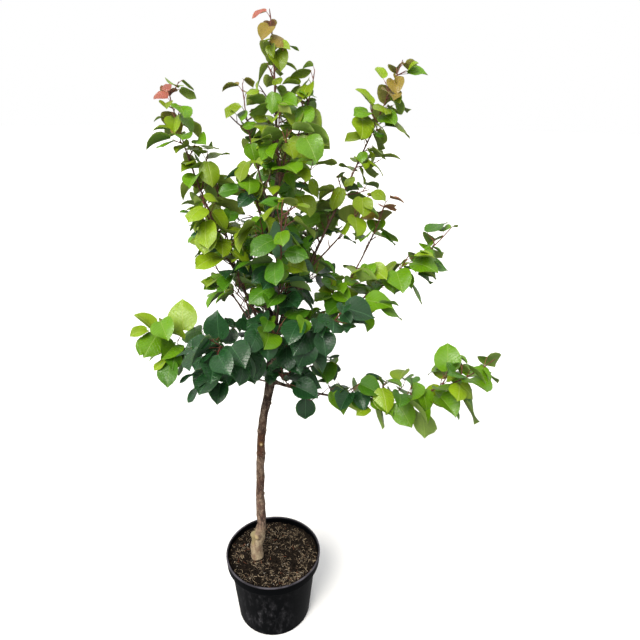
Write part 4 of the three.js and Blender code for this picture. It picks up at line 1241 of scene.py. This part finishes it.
def cutDrains(body, drains):
    whole, cutter = (bpy.data.objects.new(mesh.name, mesh) for mesh in (body, drains))
    for part in (whole, cutter):
        bpy.context.collection.objects.link(part)
    cut = whole.modifiers.new("drains", "BOOLEAN")
    cut.operation, cut.object, cut.solver = "DIFFERENCE", cutter, "EXACT"
    made = bpy.data.meshes.new_from_object(whole.evaluated_get(bpy.context.evaluated_depsgraph_get()))
    for mesh in (body, drains):
        bpy.data.meshes.remove(mesh)
    made.name = "potShell"
    return made


potTones = {"plastic": "040507", "dust": "5b5a5e", "rimHighlight": "77737c"}
potFinish = {
    "streaks": (70, 0.46, 0.7, (1, 1, 0.4)), "scuffs": (210, 0.48, 0.62, (1, 1, 0.5)),
    "clouds": (14, 0.4, 0.66), "bodyBelow": (0.195, 0.175), "leftward": (0.11, -0.07, 0.12, 1),
    "cloudLeast": 0.25, "scuffLeast": 0.4, "highlightFrom": (0.2225, 0.2262, 0, 0.55), "highlightLeast": 0.35,
    "film": 0.8, "dull": (0.6, 0.42, 0.85), "streakHeight": 0.5, "depth": 0.0003, "bump": 0.6,
}


def potLook():  # black plastic with a film of dust in streaks, most at the left, and a painted highlight along the rim
    look, tree, shader = newLook("pot", Specular_IOR_Level=0.05)
    split = put(tree, "ShaderNodeSeparateXYZ", {0: put(tree, "ShaderNodeTexCoord").outputs["Object"]})
    streaks, scuffs, clouds = (mottled(tree, *potFinish[key]) for key in ("streaks", "scuffs", "clouds"))
    film = times(tree, streaks["Mask"], spread(tree, split.outputs[2], *potFinish["bodyBelow"]),
                 spread(tree, split.outputs[0], *potFinish["leftward"]),
                 sums(tree, "ADD", potFinish["cloudLeast"], clouds["Mask"]),
                 sums(tree, "ADD", potFinish["scuffLeast"], scuffs["Mask"]))
    # a painted highlight: the rim's top painted pale grey, mottled
    rim = times(tree, spread(tree, split.outputs[2], *potFinish["highlightFrom"]),
                sums(tree, "ADD", potFinish["highlightLeast"], clouds["Mask"]))
    tone = blendColour(tree, sums(tree, "MULTIPLY", film, potFinish["film"], clamped=True),
                       paint(potTones["plastic"]), paint(potTones["dust"]))
    tone = blendColour(tree, rim, tone, paint(potTones["rimHighlight"]))
    filmFull, gloss, matt = potFinish["dull"]
    grain = sums(tree, "ADD", scuffs["Raw"], times(tree, streaks["Raw"], potFinish["streakHeight"]))
    finishLook(tree, shader, tone, spread(tree, film, 0, filmFull, gloss, matt),
               bump(tree, grain, potFinish["depth"], potFinish["bump"]))
    return look


shell = cutDrains(makePot(), makeDrains())
smoothBelow(shell, pot["sharpAngle"])
addPiece(shell, [potLook()], ["pot"])
print(f"pot: {len(shell.polygons)} faces")


# Soil: a crumbly surface in the pot, with chips and fibres on it

soil = {
    "level": 205, "highest": 222, "cells": 190, "clearance": 0.7, "sharpAngle": 70,
    "offWall": (4.5, 0.6, 0.6, 0), "lump": 3.4, "flatFrom": 27, "flatOver": 27, "waves": (13, 17, 1.3),
    "swells": (29, 23, 0.6), "mound": 6.5, "moundReach": 26, "clod": 2.6, "crumb": 1.7, "grit": 0.7,
    "noises": ((3.1, 13), (9.7, 5), (17.3, 2.2)),  # level and size of the clods, crumbs and grit
    "tones": ("0c0a08", "332a22", "040404"), "patches": (64, 0.42, 0.6), "fine": (384, 0.42, 0.6),
    "fineShare": 0.55, "rough": (0.8, 1.0), "depth": 0.0012, "bump": 0.9,
}


def potRadius(height):
    bandFoot = pot["height"] - pot["bandHeight"]
    outer = pot["rimRadius"] - pot["lipReach"]
    heights = (0, bandFoot - pot["shoulderDrop"], bandFoot, pot["height"])
    radii = np.array((pot["baseRadius"], pot["shoulderRadius"], outer, outer)) - soil["offWall"]
    return np.interp(height, heights, radii) - pot["wall"] - soil["clearance"]


def soilHeight(x, y):
    footX, footY = trunkStations[0][1:3]
    away = math.hypot(x - footX, y - footY)
    (long, wide, shift), (across, deep, share) = soil["waves"], soil["swells"]
    waves = math.sin(x / long + shift) * math.cos(y / wide) + share * math.sin(x / across - y / deep)
    flat = min(max((away - soil["flatFrom"]) / soil["flatOver"], 0), 1)
    mound = soil["mound"] * math.exp(-away / soil["moundReach"])
    height = soil["level"] + soil["lump"] * flat * waves + mound
    clods, crumbs, grit = (noise.noise(Vector((x, y, level)) / size) for level, size in soil["noises"])
    height += soil["clod"] * (2 * abs(clods) - 0.5) + soil["crumb"] * (1 - 3 * abs(crumbs))
    return height + soil["grit"] * grit


def makeSoil():
    mesh = bmesh.new()
    bmesh.ops.create_grid(mesh, x_segments=soil["cells"], y_segments=soil["cells"], size=1)
    edge = potRadius(soil["level"])
    for vert in mesh.verts:  # the square drawn out to a disc
        x, y = vert.co.x, vert.co.y
        x, y = edge * x * math.sqrt(1 - y * y / 2), edge * y * math.sqrt(1 - x * x / 2)
        vert.co = (x * mm, y * mm, min(soilHeight(x, y), soil["highest"]) * mm)
    shoulder = pot["height"] - pot["bandHeight"] - pot["shoulderDrop"]
    for height in (shoulder, pot["floor"] + 0.5):  # its side, down inside the pot
        rim = [side for side in mesh.edges if side.is_boundary]
        walls = bmesh.ops.extrude_edge_only(mesh, edges=rim)["geom"]
        for vert in (part for part in walls if isinstance(part, bmesh.types.BMVert)):
            share = potRadius(height) / math.hypot(vert.co.x, vert.co.y) * mm
            vert.co = (vert.co.x * share, vert.co.y * share, height * mm)
    bmesh.ops.holes_fill(mesh, edges=[side for side in mesh.edges if side.is_boundary], sides=0)
    bmesh.ops.recalc_face_normals(mesh, faces=mesh.faces)
    made = bpy.data.meshes.new("soilSurface")
    mesh.to_mesh(made)
    mesh.free()
    smoothBelow(made, soil["sharpAngle"])
    return made


def soilLook():
    look, tree, shader = newLook("soil", Specular_IOR_Level=0.05)
    base, light, dark = (paint(code) for code in soil["tones"])
    patches, fine = mottled(tree, *soil["patches"]), mottled(tree, *soil["fine"])
    tone = blendColour(tree, patches["Mask"], base, dark)
    finishLook(tree, shader, blendColour(tree, fine["Mask"], tone, light, soil["fineShare"]),
               spread(tree, fine["Raw"], *noiseRange, *soil["rough"]),
               bump(tree, fine["Raw"], soil["depth"], soil["bump"]))
    return look


addPiece(makeSoil(), [soilLook()], ["soil"])
litter = {
    "edge": 128, "byTrunk": 22, "tilt": 0.9, "damp": (50, 20), "dampReach": (40, 46),
    "patch": 34, "patchBelow": -0.06, "bare": 0.8, "lumpy": 0.35, "lumpSize": 1.7,
    "chip": (1, 0.34, 0.14), "chipEnd": (1, 0.4, 0.7), "tip": 0.9, "flat": (1, 1, 0.8),
    "grain": (500, 0.38, 0.62), "dark": (0.02, 0.014, 0.01, 1), "darkShare": 0.5, "grainShare": 0.7,
    "rough": (0.75, 0.95), "depth": 0.0004, "bump": 0.8, "sharpAngle": 35,
}
fibre = {
    "steps": 7, "bend": 60, "shortest": 6, "longer": 17, "lift": 1, "liftPlay": 3, "above": 0.4,
    "rest": 0.3, "highest": 221, "edge": 132, "thinnest": 0.25, "thickPlay": 0.3, "sides": 4,
    "taper": (0.6, 1, 1, 1.05, 1, 1, 0.9, 0.5),
}
litterKinds = {  # seed, count, dark and light tone, and for the bits smallest, largest and how high they lie
    "crumbs": (11, 900, "0c0a08", "2c251e", 1.0, 3.6, 0.2),
    "fibres": (12, 480, "54463a", "a8967c"),
    "chips": (13, 600, "42352a", "b5a286", 3.5, 13, 0.08),
    "rustChips": (15, 130, "4a2d20", "85523a", 4, 13, 0.08),
    "paleChips": (14, 130, "a3988a", "d6d0c4", 2.5, 7, 0.12),
}


def litterPlace(draw):  # anywhere on the soil but under the trunk, thinner on the damp patches
    while True:
        radius, turn = litter["edge"] * math.sqrt(draw()), 2 * math.pi * draw()
        x, y = radius * math.cos(turn), radius * math.sin(turn)
        clear = math.hypot(x - trunkStations[0][1], y) > litter["byTrunk"]
        damp = math.hypot((x - litter["damp"][0]) / litter["dampReach"][0],
                          (y - litter["damp"][1]) / litter["dampReach"][1]) < 1
        damp = damp or noise.noise(Vector((x, y, 5.0)) / litter["patch"]) < litter["patchBelow"]
        if clear and (not damp or draw() > litter["bare"]):
            return x, y, soilHeight(x, y)


def makeBit(kind):
    mesh = bmesh.new()
    if kind == "crumbs":
        bmesh.ops.create_icosphere(mesh, subdivisions=1, radius=1)
        for vert in mesh.verts:
            vert.co *= 1 + litter["lumpy"] * noise.noise(vert.co * litter["lumpSize"])
    else:
        bmesh.ops.create_cube(mesh, size=1)
        bmesh.ops.scale(mesh, vec=litter["chip"], verts=mesh.verts)
        for end in [face for face in mesh.faces if abs(face.normal.x) > litter["tip"]]:
            bmesh.ops.scale(mesh, vec=litter["chipEnd"], verts=end.verts)
    return readShape(mesh)


def scatterBits(kind, draw, count, low, high, sink):
    shape = makeBit(kind)
    copies = []
    for _ in range(count):
        x, y, z = litterPlace(draw)
        size = low + (high - low) * draw() ** 2
        turn = Matrix.Rotation(draw() * 2 * math.pi, 3, "Z")
        turn = turn @ Matrix.Rotation((draw() - 0.5) * litter["tilt"], 3, "X")
        points = shape["points"] @ np.array(turn).T * size * litter["flat"] + (x, y, z + size * sink)
        copies.append((shape, points, {"spray": draw()}))
    return copies


def makeFibres(draw, count):
    copies = []
    for _ in range(count):
        x, y, z = litterPlace(draw)
        heading, bend = draw() * 360, (draw() - 0.5) * fibre["bend"]
        length = fibre["shortest"] + fibre["longer"] * draw() ** 2
        lift = fibre["lift"] + fibre["liftPlay"] * draw() ** 2
        points = [np.array((x, y, z + fibre["above"]))]
        for i in range(fibre["steps"]):
            heading += bend
            points.append(points[-1] + aim(heading, 0) * length / fibre["steps"])
        line = np.array(points)
        line[:, 2] += lift * np.sin(np.linspace(0, math.pi, len(line)))
        for i, place in enumerate(line):
            ground = soilHeight(place[0], place[1]) + fibre["rest"]
            isEnd = i in (0, fibre["steps"])
            line[i][2] = ground if isEnd else max(place[2], min(ground, fibre["highest"]))
        inside = fibre["edge"] / np.maximum(fibre["edge"], np.linalg.norm(line[:, :2], axis=1))
        line[:, :2] *= inside[:, None]
        radii = (fibre["thinnest"] + fibre["thickPlay"] * draw()) * np.array(fibre["taper"])
        copies.append((*bendTube(line, radii, fibre["sides"]), {"spray": draw()}))
    return copies


def litterLook(name, dark, light):
    look, tree, shader = newLook(name, Specular_IOR_Level=0.15)
    grain = mottled(tree, *litter["grain"])
    tone = blendColour(tree, valueOf(tree, "spray"), paint(dark), paint(light))
    shade = blendColour(tree, litter["darkShare"], tone, litter["dark"])
    finishLook(tree, shader, blendColour(tree, grain["Mask"], tone, shade, litter["grainShare"]),
               spread(tree, grain["Raw"], *noiseRange, *litter["rough"]),
               bump(tree, grain["Raw"], litter["depth"], litter["bump"]))
    return look


for kind, (seed, count, dark, light, *sizes) in litterKinds.items():
    draw = drawsFrom(seed)
    copies = scatterBits(kind, draw, count, *sizes) if sizes else makeFibres(draw, count)
    addPiece(joinCopies(kind, copies, litter["sharpAngle"]), [litterLook(kind, dark, light)])
print("soil: surface, crumbs, fibres and chips")


# Floor, light and camera

studio = {
    "floorRadius": 30, "floorSides": 96, "floor": "ffffff", "floorRough": 0.9, "target": (0, 0, 0.9),
    "above": (0.8, 0.85), "level": 0.56, "below": (-0.6, 0.3),  # how far up or down, and the strength there
    "sun": {"from": (-0.65, -0.9, 1.25), "away": 4, "strength": 3.0, "angle": 32, "colour": "fffaf0"},
    "front": {"place": (-1.2, -2.6, 2.6), "size": 1.8, "power": 26, "colour": "ffffff"},
}


def makeFloor():
    mesh = bmesh.new()
    bmesh.ops.create_circle(mesh, cap_ends=True, segments=studio["floorSides"], radius=studio["floorRadius"])
    made = bpy.data.meshes.new("floor")
    mesh.to_mesh(made)
    mesh.free()
    floor = bpy.data.objects.new("floor", made)
    bpy.context.collection.objects.link(floor)
    look, _, _ = newLook("floor", Base_Color=paint(studio["floor"]), Roughness=studio["floorRough"])
    made.materials.append(look)
    floor.visible_diffuse = floor.visible_glossy = False  # its light doesn't wash out the undersides


def makeWorld():  # white where it is looked at, and as a light brighter above than below
    world = bpy.data.worlds.new("studio")
    world.use_nodes = True
    tree = world.node_tree
    way = put(tree, "ShaderNodeTexCoord").outputs["Generated"]
    climb = put(tree, "ShaderNodeSeparateXYZ", {0: way}).outputs[2]
    (high, bright), level, (low, dim) = studio["above"], studio["level"], studio["below"]
    upper = times(tree, sums(tree, "GREATER_THAN", climb, 0), spread(tree, climb, 0, high, level, bright))
    lower = times(tree, sums(tree, "LESS_THAN", climb, 0), spread(tree, climb, low, 0, dim, level))
    seen = put(tree, "ShaderNodeLightPath").outputs["Is Camera Ray"]
    strength = sums(tree, "MAXIMUM", sums(tree, "ADD", upper, lower), seen)
    tree.links.new(strength, tree.nodes["Background"].inputs["Strength"])
    tree.nodes["Background"].inputs["Color"].default_value = (1, 1, 1, 1)
    bpy.context.scene.world = world


def addLamp(name, kind, place, **settings):
    lamp = bpy.data.lights.new(name, kind)
    for setting, value in settings.items():
        setattr(lamp, setting, value)
    holder = bpy.data.objects.new(name, lamp)
    bpy.context.collection.objects.link(holder)
    holder.location = place
    holder.rotation_euler = (Vector(studio["target"]) - Vector(place)).to_track_quat("-Z", "Y").to_euler()


def makeLights():
    sun, front = studio["sun"], studio["front"]
    place = Vector(sun["from"]) * sun["away"] + Vector(studio["target"])
    addLamp("sun", "SUN", place, energy=sun["strength"], angle=math.radians(sun["angle"]),
            color=paint(sun["colour"])[:3])
    addLamp("front", "AREA", front["place"], shape="DISK", size=front["size"], energy=front["power"],
            color=paint(front["colour"])[:3])


def makeCamera():
    yaw, pitch, roll = (math.radians(camera[key]) for key in ("yaw", "pitch", "roll"))
    forward = Vector((math.sin(yaw) * math.cos(pitch), math.cos(yaw) * math.cos(pitch), -math.sin(pitch)))
    right = Vector((math.cos(yaw), -math.sin(yaw), 0))
    upward = right.cross(forward)
    level = right * math.cos(roll) + upward * math.sin(roll)
    upright = upward * math.cos(roll) - right * math.sin(roll)
    eye = bpy.data.cameras.new("camera")
    eye.lens, eye.sensor_width, eye.clip_end = camera["lens"], camera["sensor"], camera["farthest"]
    holder = bpy.data.objects.new("camera", eye)
    bpy.context.collection.objects.link(holder)
    turn = Matrix((level, upright, -forward)).transposed().to_4x4()
    holder.matrix_world = Matrix.Translation(camera["place"]) @ turn
    bpy.context.scene.camera = holder


makeFloor()
makeWorld()
makeLights()
makeCamera()
bpy.context.scene.view_settings.view_transform = "Standard"
print("studio: floor, lights and camera")
